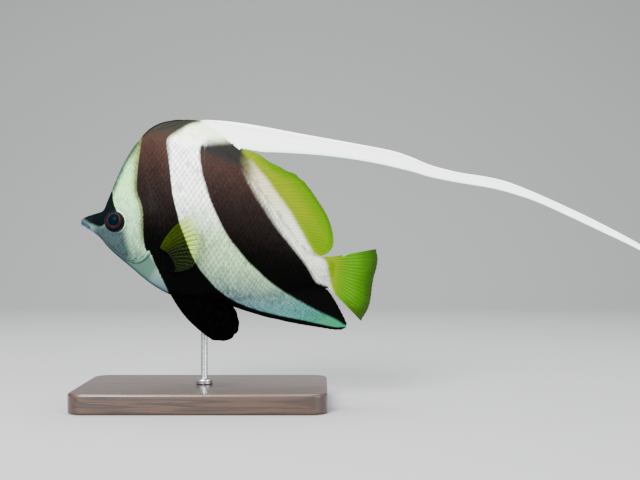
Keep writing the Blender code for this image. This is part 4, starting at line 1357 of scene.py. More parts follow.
            # The net's painted shade between the scales, and each scale's random tone.
            colour = look.shaded(colour, look.layer("net") * up.eased(63.0, 52.0), (0.24, 0.30, 0.32))
            colour = look.shaded(colour, look.layer("tone"), (0.84, 0.87, 0.88))
        dark, depth = self.bands(look, along, up, soft), look.layer("yellow") + (broad - 0.5) * 1.5
        colour = look.coated(
            colour,
            (second.eased(-1.0, 1.0), dark),
            (first.eased(-1.0, 1.0), dark),
            ((look.layer("mask") + wobble).eased(-1.0, 1.0),
             look.mixed(along.eased(13.0, 9.0), self.mask, self.mask_snout)),
            (depth.eased(-1.9, 1.6), self.gold(look, up, soft, depth)))
        if scaled:
            # Over the dark too: the net's painted shade and the random tone.
            colour = look.shaded(colour, look.layer("net") * 0.4, (0.6, 0.62, 0.64))
            colour = look.shaded(colour, look.layer("tone"), (0.86, 0.88, 0.9))
        normal = look.bump(fine, 0.03)
        if finned:
            colour = look.shaded(colour, look.layer("ray").eased(0.9, 0.1) * 0.4, (0.7, 0.8, 0.6))
            normal = look.jointed(look.layer("ray"), normal)
        return look.wear(colour, 0.36 + broad * 0.12 + fine * 0.06,
                         {"Normal": normal, "Specular IOR Level": 0.02})


@dataclass(frozen=True)
class TailFinish:
    """Yellow rays that darken to green towards a thin, slightly clear margin."""

    base: Colour = paint(0.122, 0.160, 0.0)
    middle: Colour = paint(0.050, 0.165, 0.0)
    rear: Colour = paint(0.0175, 0.070, 0.0005)
    margin: Colour = paint(0.015, 0.034, 0.002)
    bright: Colour = paint(0.10, 0.20, 0.002)
    white: Colour = paint(0.50, 0.56, 0.38)

    def material(self) -> Material:
        """The finish, with long bright streaks in its lower half."""
        look = Shading("tail_membrane")
        reach, ray, share = look.layer("reach"), look.layer("ray").eased(0.1, 0.8), look.layer("share")
        broad, fine = look.noise(5.0), look.noise(0.5, 3.0)
        out = reach + (broad - 0.5) * 0.14
        streak = look.noise(1.0, 3.0, look.stretched((0.1, 1.0, 1.0), math.radians(-14.0))).eased(0.5, 0.72)
        colour = look.coated(
            self.base,
            (out.eased(0.05, 0.5), self.middle),
            (out.eased(0.45, 0.9), self.rear),
            (out.eased(0.8, 1.0), self.margin),
            (share.eased(0.82, 0.98) * reach.eased(0.3, 0.7) * 0.6, self.margin),
            (streak * share.eased(0.3, 0.6) * ray * reach.eased(1.0, 0.5) * 0.55, self.bright))
        colour = look.shaded(colour, (1 - ray) * reach.eased(0.05, 0.4) * 0.8, (0.55, 0.66, 0.5))
        colour = look.mixed((look.layer("yellow") + (fine - 0.5)).eased(1.6, -1.9), colour, self.white)
        return look.wear(colour, 0.4 + broad * 0.1, {
            "Normal": look.jointed(ray, look.bump(fine, 0.02)),
            "Alpha": 1 - (1 - ray) * reach.eased(0.8, 1.0) * 0.15, "Specular IOR Level": 0.05})


@dataclass(frozen=True)
class PectoralFinish:
    """A clear fin: dark olive near the body, bright yellow past the first band, clear towards its tips.

    A black fleshy lobe covers the roots of its rays.
    """

    olive: Colour = paint(0.018, 0.031, 0.001)
    dark: Colour = paint(0.005, 0.0075, 0.004)
    bright: Colour = paint(0.19, 0.29, 0.0)
    pale: Colour = paint(0.52, 0.72, 0.16)
    lobe: Colour = paint(0.0004, 0.0005, 0.0005)

    def material(self) -> Material:
        """The finish, with the rays brighter and more solid than the membrane."""
        look = Shading("pectoral_membrane")
        reach, ray, share = look.layer("reach"), look.layer("ray").eased(0.1, 0.8), look.layer("share")
        fine = look.noise(0.5, 3.0)
        inner = look.coated(self.olive, (share.eased(0.05, 0.5), self.dark),
                            (ray * reach.eased(0.15, 0.4) * share.eased(0.95, 0.6) * 0.55, self.olive))
        outer = look.mixed(ray * reach.eased(0.35, 0.8) * 0.8, self.bright, self.pale)
        over = (look.layer("first_band") + (fine - 0.5)).eased(1.0, -1.0)
        past = look.layer("past_lobe") + (fine - 0.5) * 1.2
        colour = look.coated(inner, (over, outer), (past.eased(0.7, -0.7), self.lobe))
        alpha_in = 0.55 + ray * 0.35 - share * 0.2
        alpha_out = reach.eased(1.0, 0.7) * (0.42 + ray * 0.48)
        alpha = (alpha_in + (alpha_out - alpha_in) * over).most(past.eased(1.4, 0.2))
        return look.wear(colour, 0.36 + fine * 0.1,
                         {"Normal": look.jointed(ray), "Alpha": alpha, "Specular IOR Level": 0.01})


@dataclass(frozen=True)
class PennantFinish:
    """A pure white streamer with a faint cool lower edge and fine lines along it."""

    white: Colour = paint(0.97, 0.98, 0.98)
    cool: Colour = paint(0.62, 0.84, 0.86)

    def material(self) -> Material:
        """The finish, cool towards the foot."""
        look = Shading("pennant_white")
        across = look.layer("across")
        streak = look.noise(1.2, 3.0, look.stretched((0.05, 1.0, 1.0), math.radians(4)))
        colour = look.mixed(across.eased(0.8, 1.0), self.white, self.cool)
        colour = look.shaded(colour, streak.eased(0.6, 0.85) * 0.2, (0.9, 0.93, 0.95))
        return look.wear(colour, 0.36 + streak * 0.12,
                         {"Normal": look.bump(streak, 0.03), "Specular IOR Level": 0.4})


@dataclass(frozen=True)
class EyeFinish:
    """A wet eye: blue-black pupil, copper-brown iris and a near black rim."""

    pupil: Colour = paint(0.0006, 0.0032, 0.0056)
    inner_ring: Colour = paint(0.042, 0.023, 0.022)
    iris: Colour = paint(0.0145, 0.0070, 0.0066)
    iris_dark: Colour = paint(0.0060, 0.0045, 0.0045)
    rim: Colour = paint(0.0008, 0.0016, 0.0035)

    def material(self) -> Material:
        """The finish of the eyeball, whose mesh carries the distances from the pupil and from the iris."""
        look = Shading("eye_wet")
        pupil, iris = look.layer("pupil"), look.layer("iris")
        grain, fine = look.noise(1.1, 3.0), look.noise(0.35, 3.0)
        inner = (pupil + (fine - 0.5) * 0.3).eased(4.2, 3.9) * grain.eased(0.7, 0.35)
        colour = look.coated(
            self.iris,
            (grain.eased(0.35, 0.68), self.iris_dark),
            (inner, self.inner_ring),
            ((pupil + (fine - 0.5) * 0.1).eased(3.82, 3.66), self.pupil),
            ((iris + (grain - 0.5) * 0.4).eased(4.9, 5.5), self.rim))
        return look.wear(colour, 0.25 + grain * 0.15, {
            "Normal": look.bump(fine, 0.03), "Coat Weight": 0.009, "Coat Roughness": 0.05,
            "Specular IOR Level": 0.005})


@dataclass(frozen=True)
class PlainFinish:
    """A finish of two close colours in soft patches, with a fine grain."""

    first: Colour
    second: Colour
    patch: float
    roughness: float
    shine: float = 0.2
    grain: float = 0.5
    depth: float = 0.03

    def material(self, name: str) -> Material:
        """The finish."""
        look = Shading(name)
        patch, fine = look.noise(self.patch, 3.0), look.noise(self.grain, 3.0)
        colour = look.mixed(patch.eased(0.35, 0.65), self.first, self.second)
        return look.wear(colour, self.roughness + fine * 0.1,
                         {"Normal": look.bump(fine, self.depth), "Specular IOR Level": self.shine})


@dataclass(frozen=True)
class WoodFinish:
    """Dark stained wood under a satin lacquer, with its grain along the base."""

    dark: Colour = paint(0.011, 0.005, 0.003)
    light: Colour = paint(0.050, 0.020, 0.010)

    def material(self) -> Material:
        """The finish: wavy growth bands, fine pores and small changes of gloss."""
        look = Shading("stand_wood_dark")
        drift = look.noise(60.0, 2.0, look.stretched((0.25, 1.0, 1.0)))
        along = look.stretched((0.045, 1.0, 1.0))
        bands = look.noise(7.0, 4.0, along)
        rings = ((bands * 6.0 + drift * 4.0) * math.tau).wave() * 0.5 + 0.5
        pores = look.noise(0.9, 2.0, look.stretched((0.04, 1.0, 1.0))).eased(0.56, 0.72)
        colour = look.mixed(rings * 0.55 + drift * 0.35, self.dark, self.light)
        colour = look.shaded(colour, pores * 0.6, (0.45, 0.42, 0.4))
        return look.wear(colour, 0.38 + rings * 0.14,
                         {"Normal": look.bump(1 - pores, 0.05), "Coat Weight": 0.5, "Coat Roughness": 0.18})


@dataclass(frozen=True)
class SteelFinish:
    """Brushed stainless steel, its scratches round the rod."""

    bright: Colour = paint(0.52, 0.53, 0.54)
    dull: Colour = paint(0.30, 0.31, 0.33)

    def material(self) -> Material:
        """The finish."""
        look = Shading("stand_steel_brushed")
        lines = look.noise(0.5, 3.0, look.stretched((0.06, 0.06, 1.0)))
        colour = look.mixed(lines.eased(0.3, 0.7), self.dull, self.bright)
        return look.wear(colour, 0.2 + lines * 0.2, {"Normal": look.bump(lines, 0.02), "Metallic": 1.0})


# Scales


@dataclass
class ScaleField:
    """A stretch of the coat: overlapping scales in offset rows.

    The rows lean from the fish's axis by lean degrees. long_pitch gives the step from scale to scale along a
    row, and row_pitch from row to row, each at some places along the fish, and by_height multiplies the
    latter at some heights. region is the outline that the scales fill.

    A scale reaches from root to apex, in long pitches, and its sides are at least shortest of one long.
    lengths and across set its grid, and it rises by lift of a long pitch. In units of that rise, its root
    lies root_dip under the skin and its middle bulges by crown. root_width is the share of its full width
    that it has at the root. spread gives how much its size, turn and place vary at random.
    """

    name: str
    lean: float
    long_pitch: Points
    row_pitch: Points
    region: Points
    by_height: Points = ((-60.0, 1.0), (90.0, 1.0))
    lift: float = 0.11
    seed: int = 1
    across: int = 7
    lengths: tuple[float, ...] = (0.0, 0.3, 0.5, 0.66, 0.8, 0.92, 1.0)
    root: float = -1.05
    apex: float = 0.8
    shortest: float = 0.25
    root_width: float = 0.8
    root_dip: float = 1.3
    crown: float = 0.35
    spread: Triple = (0.016, 0.014, 0.018)
    patch: float = 0.003

    def centres(self, net: Net) -> dict[str, Array]:
        """Where each scale's middle is, with the two pitches there and its place on the unwrapped skin.

        Columns stand where the count of steps along a row passes each half. Down a column the count of rows
        grows by the length of the skin over the row pitch, and scales sit at every second count, by turns
        even and odd, so each one covers the joint of the two before it.
        """
        cos, sin = math.cos(math.radians(self.lean)), math.sin(math.radians(self.lean))
        step = 0.2
        p = np.arange(-25.0, 205.0, step)
        count = np.cumsum(step / read_off(self.long_pitch, p))
        columns = np.interp(np.arange(1, int(2 * count[-1])) / 2, count, p)
        q = np.arange(-75.0, 95.0, step)
        along = columns[:, None] * cos - q[None, :] * sin
        up = columns[:, None] * sin + q[None, :] * cos
        slope = np.gradient(net.at("height", along, up), step, axis=1)
        rows = np.cumsum(step * np.hypot(1, slope) / self.pitch(along, up), axis=1)
        rows -= rows[:, [np.abs(q - 10.0).argmin()]]
        found = []
        for number, column in enumerate(columns):
            level = np.arange(math.ceil(rows[number, 0] / 2), int(rows[number, -1] / 2)) * 2 + number % 2
            place = np.interp(level, rows[number], q)
            found.append(np.stack([np.full(len(level), column), place, level, np.full(len(level), number)]))
        p, q, level, number = np.concatenate(found, axis=1)
        along, up = p * cos - q * sin, p * sin + q * cos
        depth = self.depth(along, up)
        inside = depth > 0
        p, q, level, number, along, up, depth = (a[inside] for a in (p, q, level, number, along, up, depth))
        map_u = 0.02 + 0.96 * (number - number.min()) / np.ptp(number)
        map_v = 0.02 + 0.96 * (level - level.min()) / np.ptp(level)
        at_border = 0.22 + 0.78 * eased(depth, 0.0, 3.5)
        return {"along": along, "up": up, "long": read_off(self.long_pitch, p), "row": self.pitch(along, up),
                "map": np.stack([map_u, map_v], axis=-1),
                "rise": at_border * (0.45 + 0.55 * eased(up, 63.0, 50.0))}

    def pitch(self, along: Array, up: Array) -> Array:
        """The step from row to row at points of the plane."""
        return read_off(self.row_pitch, along) * read_off(self.by_height, up)

    def depth(self, along: Array, up: Array) -> Array:
        """How far points lie inside the region."""
        return depth_inside(smooth_track(self.region + self.region[:1], 3), along, up)

    def build(self, body: Body, marks: Markings, side: Side, finish: Material) -> Piece:
        """All scales of the field on one flank, as one mesh of thin closed lenses.

        A scale's outline runs straight from its root and rounds to an arc at its rear edge. It leaves the
        skin along its length, from under the surface at the root to lift above it at the rear edge, and
        every point is laid off square to the flank under it. Scales lie flatter at the region's border.
        """
        net = body.net
        made = self.centres(net)
        random = np.random.default_rng(self.seed)
        count = len(made["along"])
        size = 1 + self.spread[0] * random.standard_normal(count)
        long, row = made["long"] * size, made["row"] * size
        twist = math.radians(self.lean) + self.spread[1] * random.standard_normal(count)
        u = np.array(self.lengths)[:, None]
        v = np.linspace(-1, 1, self.across)[None, :]
        half_width, step = row[:, None, None], long[:, None, None]
        root = self.root * step
        drop = 0.85 * half_width * (1 - np.sqrt(1 - (0.95 * v) ** 2))
        rear = np.maximum(self.apex * step - drop, root + self.shortest * step)
        x = root + (rear - root) * u
        y = half_width * v * (self.root_width + (1 - self.root_width) * u)
        shift = self.spread[2] * random.standard_normal((2, count)) * long
        cos, sin = np.cos(twist)[:, None, None], np.sin(twist)[:, None, None]
        along = (made["along"] + shift[0])[:, None, None] + x * cos - y * sin
        up = (made["up"] + shift[1])[:, None, None] + x * sin + y * cos
        rise = self.lift * (long * made["rise"] * random.uniform(0.94, 1.06, count))[:, None, None]
        bulge = self.crown * (1 - v**2) * np.sin(math.pi * np.clip(u, 0, 0.95))
        height = rise * (-self.root_dip + (1 + self.root_dip) * u**0.8 + bulge)
        along, up, side_out = self.laid(net, along, up, height)
        rim_u, rim_v = self.rim()
        points = body.plane.placed(along, up, side.value * side_out)
        per, cells = self.faces()
        index = np.arange(count)[:, None, None] * per
        tops = (cells[None] + index).reshape(-1, 4)
        bottoms = (np.array(rim_u) * self.across + np.array(rim_v))[None, :] + index[:, 0]
        centre = {key: np.broadcast_to(made[key][:, None, None], along.shape) for key in ("along", "up")}
        jagged = marks.values(0.9 * along + 0.1 * centre["along"], 0.9 * up + 0.1 * centre["up"])
        # The net: painted shade where each scale comes out from under the ones before it, at its rim and
        # where rows meet.
        shade = eased(u, 0.7, 0.46) + 0.3 * eased(u, 0.9, 1.0) + 0.35 * eased(v**2, 0.4, 1.0)
        tone = random.random(count)[:, None, None] ** 2
        values = jagged | {"net": np.broadcast_to(shade.clip(0, 1), along.shape),
                           "tone": np.broadcast_to(tone, along.shape), "along": along, "up": up}
        patch = np.stack(np.broadcast_arrays(u - 0.5, v / 2), axis=-1)[None] * self.patch
        bake = (made["map"][:, None, None] + patch).reshape(-1, 2)
        faces = [tops, bottoms]
        if side is Side.LEFT:
            faces = [f[:, ::-1] for f in faces]
        shell = Shell(points.reshape(-1, 3), faces, {k: np.ravel(a) for k, a in values.items()}, bake)
        return shell.build(f"{self.name}_{side.word}", finish, "skin", sharp=60.0)

    @staticmethod
    def laid(net: Net, along: Array, up: Array, height: Array) -> tuple[Array, Array, Array]:
        """Points at a height over the flank, square to it: the normal is (-slope along, -slope up, 1).

        A point less than least inside the fish's outline is first moved in, against the slope of that depth.
        """
        least = 0.3
        in_along, in_up = net.slope("inset", along, up)
        short = (least - net.at("inset", along, up)).clip(0, 3)
        along, up = along + short * in_along, up + short * in_up
        slope_along, slope_up = (slope.clip(-1.6, 1.6) for slope in net.slope("height", along, up))
        length = np.sqrt(1 + slope_along**2 + slope_up**2)
        side = net.at("height", along, up) + height / length
        return along - slope_along * height / length, up - slope_up * height / length, side

    def rim(self) -> tuple[list[int], list[int]]:
        """Rows and columns of the points round one scale's edge, in order."""
        last_u, last_v = len(self.lengths) - 1, self.across - 1
        rows = [0] * last_v + list(range(last_u)) + [last_u] * last_v + list(range(last_u, 0, -1))
        columns = list(range(last_v)) + [last_v] * last_u + list(range(last_v, 0, -1)) + [0] * last_u
        return rows, columns

    def faces(self) -> tuple[int, Array]:
        """The number of points in one scale, and the quads of its upper face."""
        rows = len(self.lengths)
        return rows * self.across, net_faces(rows, self.across)


# Eyes, lips and nostrils


@dataclass
class Eye:
    """An eyeball of oval section that looks a little forward and up, with its pupil off centre.

    Each size of the rim is given where the rim is thinnest, with what is added where it is thickest.
    """

    body: Body
    radius: float = 6.6
    depth: float = 4.4
    sunk: float = 2.6
    yaw: float = math.radians(17.0)
    roll: float = math.radians(5.0)
    pupil_off: Span = (0.4, 0.5)
    iris_off: Span = (0.35, 0.25)
    lens_height: float = 0.25
    rim_radius: Span = (5.5, 0.3)
    rim_half_width: Span = (0.6, 0.45)
    rim_half_height: Span = (0.4, 0.14)
    rim_thickest: float = math.radians(-48.0)
    rim_stretch: float = 1.07
    rim_sunk: float = 0.12
    rings: int = 60
    segments: int = 96

    def axes(self) -> Array:
        """Onward, upward and outward directions of the eyeball, one a row."""
        outward_axis = np.array([-math.sin(self.yaw), math.sin(self.roll), math.cos(self.yaw)])
        outward_axis /= np.linalg.norm(outward_axis)
        onward = np.cross([0.0, 1.0, 0.0], outward_axis)
        onward /= np.linalg.norm(onward)
        return np.stack([onward, np.cross(outward_axis, onward), outward_axis])

    def build(self, side: Side, finish: Material) -> Piece:
        """The eyeball: a ball scaled to its three radii, with a low bulge over the pupil."""
        down = np.linspace(0, math.pi, self.rings + 2)[1:-1, None]
        around = np.linspace(0, 2 * math.pi, self.segments, endpoint=False)[None, :]
        ball = np.stack(np.broadcast_arrays(np.sin(down) * np.cos(around), np.sin(down) * np.sin(around),
                                            np.cos(down)), axis=-1)
        ball = np.vstack([[[0.0, 0.0, 1.0]], ball.reshape(-1, 3), [[0.0, 0.0, -1.0]]])
        flat = ball * [self.radius, self.radius, self.depth]
        from_pupil = np.hypot(flat[:, 0] - self.pupil_off[0], flat[:, 1] - self.pupil_off[1])
        from_iris = np.hypot(flat[:, 0] - self.iris_off[0], flat[:, 1] - self.iris_off[1])
        flat[:, 2] += self.lens_height * eased(from_pupil, 4.2, 1.0) * (ball[:, 2] > 0)
        ring = 1 + np.arange(self.rings * self.segments).reshape(self.rings, self.segments)
        after = np.roll(ring, -1, axis=1)
        tops = np.stack([np.zeros(self.segments, int), ring[0], after[0]], axis=-1)
        bottoms = np.stack([np.full(self.segments, len(flat) - 1), after[-1], ring[-1]], axis=-1)
        quads = net_faces(self.rings, self.segments, around=True) + 1
        far = np.where(ball[:, 2] > 0, 0.0, 20.0)
        centre = self.body.eye_place - [0.0, 0.0, self.sunk]
        shell = Shell(flat @ self.axes() + centre, [quads, tops, bottoms],
                      {"pupil": from_pupil + far, "iris": from_iris + far})
        piece = self.body.plane.dress(shell, side.value).build(f"eyeball_{side.word}", finish, "eye")
        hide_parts(f"eye_{side.word}")
        return piece

    def build_rim(self, side: Side, finish: Material) -> Piece:
        """The soft rim of the socket: a ring round the eyeball, thickest low and behind."""
        turn = np.linspace(0, 2 * math.pi, 120, endpoint=False)
        centre = self.body.eye_place
        lean = 0.5 + 0.5 * np.cos(turn - self.rim_thickest)
        radius, wide, high = (thin + more * lean for thin, more in (
            self.rim_radius, self.rim_half_width, self.rim_half_height))
        along, up = centre[0] + self.rim_stretch * radius * np.cos(turn), centre[1] + radius * np.sin(turn)
        path = np.stack([along, up, self.body.net.at("smooth", along, up) - self.rim_sunk], axis=-1)
        shell = tube(path, wide, high, np.array([0.0, 0.0, 1.0]), True, 14)
        return self.body.plane.dress(shell, side.value).build(f"eye_rim_{side.word}", finish, "eye")


@dataclass
class Mouth:
    """Two pale lips that meet on the mouth line, with a dark tube of painted shade between them.

    A lip is given by its name, how far up its middle lies, in radii, and how far back. The dark tube of
    painted shade is given by how far back it lies and by its half width and half height, in radii of the
    lips.
    """

    body: Body
    half_width: float = 3.7
    tip_radius: float = 0.95
    corner_radius: float = 0.4
    sweep: float = math.radians(75.0)
    lips: tuple[tuple[str, float, float], ...] = (("upper", 0.92, -0.1), ("lower", -0.92, 0.15))
    shade_line: Triple = (0.35, 0.5, 0.3)

    def line(self, steps: int = 81) -> tuple[Array, Array]:
        """The mouth line from corner to corner round the tip, as (along, up, side), and the lips' radii.

        Over an angle from -sweep to sweep it runs back as 1 - cos and out as sin, so it is part of an oval.
        """
        angle = np.linspace(-self.sweep, self.sweep, steps)
        (x0, y0), (x1, y1) = self.body.mouth_tip, self.body.mouth_corner
        share = (1 - np.cos(angle)) / (1 - math.cos(self.sweep))
        side = self.half_width * np.sin(angle) / math.sin(self.sweep)
        radius = self.tip_radius + (self.corner_radius - self.tip_radius) * share
        radius = radius * (0.2 + 0.8 * eased(np.abs(angle), self.sweep, 0.86 * self.sweep))
        return np.stack([x0 + (x1 - x0) * share, y0 + (y1 - y0) * share, side], axis=-1), radius

    def build(self, lip_finish: Material, shade_finish: Material) -> None:
        """Both lips and the dark tube of painted shade between them."""
        path, radius = self.line()
        upward = np.array([0.0, 1.0, 0.0])
        for name, lift, back in self.lips:
            moved = path + np.stack([back + 0 * radius, lift * radius, 0 * radius], axis=-1)
            shell = tube(moved, radius, radius, upward, False, 20)
            self.body.plane.dress(shell, 1.0).build(f"lip_{name}", lip_finish, "skin")
        # The groove between the lips, as a dark tube: painted shade.
        back, wide, high = self.shade_line
        within = path * [1.0, 1.0, 0.96] + [back, 0.0, 0.0]
        shell = tube(within, radius * wide, radius * high, upward, False, 10)
        self.body.plane.dress(shell, 1.0).build("mouth_shade_line", shade_finish, "skin")


@dataclass
class GillFold:
    """The soft flap along the gill cover's rear edge."""

    body: Body
    turns: Span = (72.0, 165.5)
    half_width: float = 0.85
    half_height: float = 0.16
    thinnest: float = 0.06
    steps: int = 120

    def build(self, side: Side, marks: Markings, finish: Material) -> Piece:
        """The flap: a flat oval tube on the cover's edge that thins to nothing at both ends."""
        share = np.linspace(0, 1, self.steps)
        turn = self.turns[0] + (self.turns[1] - self.turns[0]) * share
        path = self.body.surface(self.body.gill_station(turn), turn, False)
        thin = self.thinnest + (1 - self.thinnest) * (eased(share, 0.0, 0.4) * eased(share, 1.0, 0.8))
        outwards = np.array([0.0, 0.0, 1.0])
        shell = tube(path, self.half_width * thin, self.half_height * thin, outwards, False, 14)
        shell.values = marks.values(shell.points[:, 0], shell.points[:, 1])
        return self.body.plane.dress(shell, side.value).build(f"gill_fold_{side.word}", finish, "gill_cover")


# Stand and studio


@dataclass
class Stand:
    """A flat wooden base with rounded corners, and a turned rod with a collar."""

    corner: float = 10.0
    edge: float = 1.5
    rod_radius: float = 2.0
    collar_radius: float = 5.0
    collar_height: float = 3.0

    def build_base(self, finish: Material) -> Piece:
        """The base: rounded rectangles stacked up a profile whose edges are quarter circles."""
        low, high = (np.array(corner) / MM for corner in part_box("stand_base"))
        turn = np.linspace(0, math.pi / 2, 13)
        arc = self.edge * (1 - np.cos(np.linspace(0, math.pi / 2, 7)))
        rise = self.edge * np.sin(np.linspace(0, math.pi / 2, 7))
        inset = np.concatenate([arc[::-1], [0.0, 0.0], arc])
        level = np.concatenate([self.edge - rise[::-1], [self.edge * 1.6, high[2] - self.edge * 1.6],
                                high[2] - self.edge + rise])
        rings = []
        for shrink, z in zip(inset, level):
            reach = (high[:2] - low[:2]) / 2 - self.corner
            radius = self.corner - shrink
            parts = [np.sign([math.cos(a), math.sin(a)]) * reach
                     + radius * np.stack([np.cos(turn + q), np.sin(turn + q)], axis=-1)
                     for a, q in ((math.pi / 4 + k * math.pi / 2, k * math.pi / 2) for k in range(4))]
            outline = np.concatenate(parts)
            rings.append(np.column_stack([outline, np.full(len(outline), z)]))
        piece = capped(MM * np.array(rings)).build("stand_base_wood", finish, "stand_wood", sharp=35.0)
        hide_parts("stand_base")
        return piece

    def build_rod(self, finish: Material) -> Piece:
        """The rod and its collar: a profile of (radius, height) turned about Z."""
        low, high = (np.array(corner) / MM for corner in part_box("stand_rod"))
        r, c = self.rod_radius, self.collar_radius
        foot, top = low[2], high[2]
        neck = foot + self.collar_height
        profile = [(c - 0.3, foot), (c, foot + 0.3), (c, foot + 1.1), (c - 0.25, foot + 1.3),
                   (c - 0.25, foot + 1.5), (c, foot + 1.7), (c, neck - 0.8), (c - 0.25, neck - 0.25),
                   (c - 0.8, neck), (r + 0.8, neck), (r + 0.2, neck + 0.25), (r, neck + 0.9), (r, top - 0.3),
                   (r - 0.25, top)]
        turn = np.linspace(0, 2 * math.pi, 64, endpoint=False)
        rings = np.array([[(a * math.cos(t), a * math.sin(t), z) for t in turn] for a, z in profile])
        piece = capped(MM * rings).build("stand_rod_steel", finish, "stand_steel", sharp=35.0)
        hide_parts("stand_rod")
        return piece


@dataclass(frozen=True)
class Lamp:
    """A round soft light that faces the middle of the fish."""

    name: str
    at: Triple
    size: float
    power: float
    colour: Triple
    aim: Triple = (0.03, 0.0, 0.1)

    def build(self) -> None:
        """The light, its face turned to aim."""
        data = bpy.data.lights.new(self.name, "AREA")
        data.shape = "DISK"
        data.size, data.energy, data.color = self.size, self.power, self.colour
        lamp = bpy.data.objects.new(self.name, data)
        lamp.location = self.at
        x, y, z = np.array(self.aim) - np.array(self.at)
        pitch, yaw = math.atan2(z, math.hypot(x, y)), math.atan2(y, x)
        lamp.rotation_euler = (math.pi / 2 + pitch, 0.0, yaw - math.pi / 2)
        bpy.context.scene.collection.objects.link(lamp)


@dataclass
class Studio:
    """A pale floor that sweeps up into a backdrop, soft lights, and the camera of the picture.

    The floor's measures are in metres: its half width, how near it comes, where it starts to rise, the
    radius of the rise, and how high the backdrop is.
    """

    lens: float = 60.0
    sensor: float = 36.0
    camera_at: Triple = (0.0706, -0.651, 0.0998)
    sky: Colour = paint(0.90, 0.92, 0.93)
    floor_colour: Colour = paint(0.26, 0.263, 0.266)
    half_width: float = 4.0
    near: float = -3.0
    bend_start: float = 0.9
    bend_radius: float = 0.7
    top: float = 3.0
    lamps: tuple[Lamp, ...] = (
        Lamp("key", (-0.42, -1.0, 0.8), 0.7, 58.0, (1.0, 0.99, 0.96)),
        Lamp("fill", (0.9, -0.7, 0.35), 0.9, 12.0, (0.95, 0.98, 1.0)),
        Lamp("top", (0.0, 0.2, 1.1), 0.9, 30.0, (1.0, 1.0, 1.0)),
    )

    def build(self) -> None:
        """The floor, the lights, the sky and the camera."""
        self.build_floor()
        for lamp in self.lamps:
            lamp.build()
        world = bpy.data.worlds.new("studio")
        world.use_nodes = True
        world.node_tree.nodes["Background"].inputs["Color"].default_value = self.sky
        bpy.context.scene.world = world
        data = bpy.data.cameras.new("camera")
        data.lens, data.sensor_width = self.lens, self.sensor
        camera = bpy.data.objects.new("camera", data)
        camera.location = self.camera_at
        camera.rotation_euler = (math.pi / 2, 0.0, 0.0)
        bpy.context.scene.collection.objects.link(camera)
        bpy.context.scene.camera = camera

    def build_floor(self) -> None:
        """A sheet that is flat, turns up through a quarter circle and ends in a wall."""
        turn = np.linspace(0, math.pi / 2, 24)
        start, radius = self.bend_start, self.bend_radius
        bend = np.stack([start + radius * np.sin(turn), radius - radius * np.cos(turn)], axis=-1)
        profile = np.vstack([[(self.near, 0.0)], bend, [(start + radius, self.top)]])
        points = [(x, y, z) for y, z in profile.tolist() for x in (-self.half_width, self.half_width)]
        mesh = bpy.data.meshes.new("floor")
        mesh.from_pydata(points, [], net_faces(len(profile), 2).tolist())
        mesh.shade_smooth()
        look = Shading("floor_pale")
        mesh.materials.append(look.wear(self.floor_colour, 0.7 + look.noise(30.0, 3.0) * 0.1, {}))
        floor = bpy.data.objects.new("floor", mesh)
        bpy.context.scene.collection.objects.link(floor)


# Assembly


FLANK_REGION = (
    (45.6, -10.6), (48.6, -14.2), (53.2, -19.5), (57.4, -24.8), (61.5, -31.0), (70.0, -33.6), (81.0, -33.2),
    (93.0, -31.6), (104.0, -31.6), (118.0, -32.8), (130.0, -33.2), (142.0, -33.0), (150.0, -31.6),
    (156.0, -27.5), (157.0, -22.0), (155.5, -15.0), (153.0, -10.5), (154.5, -8.6), (156.0, -4.0),
    (156.0, 3.0), (154.0, 8.0), (151.0, 8.0), (146.5, 7.6), (141.4, 9.2), (135.4, 11.2), (128.0, 16.0),
    (119.0, 25.0), (106.4, 36.4), (92.2, 48.6), (79.4, 56.6), (68.0, 63.6), (55.0, 65.8), (42.0, 65.4),
    (31.0, 60.5), (26.0, 56.5), (24.8, 54.0), (27.0, 45.0), (31.0, 35.0), (38.0, 24.0), (44.0, 12.0),
    (45.4, 0.0), (44.8, -6.0),
)
HEAD_REGION = (
    (14.2, 24.5), (15.2, 31.5), (17.6, 42.0), (21.8, 51.5), (24.5, 55.5), (25.6, 53.0), (27.8, 45.0),
    (31.8, 35.0), (38.8, 24.0), (44.8, 12.0), (46.0, 0.0), (44.6, -7.0), (44.2, -11.5), (42.5, -14.0),
    (40.0, -16.4), (37.8, -17.7), (36.2, -18.3), (33.0, -17.0), (26.0, -14.6), (20.0, -11.6), (14.5, -8.2),
    (11.0, -6.0), (10.5, -3.5), (14.0, -3.0), (16.3, -2.2), (21.0, -3.9), (26.0, -2.1), (28.4, 3.0),
    (26.8, 7.7), (22.5, 10.5), (18.5, 10.2), (16.5, 17.0),
)
SCALE_FIELDS = (
    ScaleField(
        "scales_flank", 9.0,
        ((-30.0, 2.6), (40.0, 2.9), (60.0, 3.1), (93.0, 3.0), (109.0, 2.6), (124.0, 2.4), (155.0, 1.8)),
        ((20.0, 2.1), (45.0, 2.3), (60.0, 2.5), (93.0, 2.7), (109.0, 2.3), (124.0, 1.8), (155.0, 1.4)),
        FLANK_REGION, ((-35.0, 0.62), (-22.0, 0.85), (0.0, 1.0), (45.0, 1.0), (62.0, 0.75), (70.0, 0.6)),
        seed=3),
    ScaleField(
        "scales_head", 6.0, ((5.0, 0.95), (15.0, 1.05), (25.0, 1.3), (35.0, 1.8), (45.0, 2.4)),
        ((5.0, 0.95), (15.0, 1.1), (25.0, 1.5), (38.0, 2.4), (46.0, 3.0)), HEAD_REGION,
        ((-20.0, 0.75), (0.0, 1.0), (60.0, 1.0)), lift=0.085, seed=5, lengths=(0.0, 0.4, 0.65, 0.85, 1.0)),
)


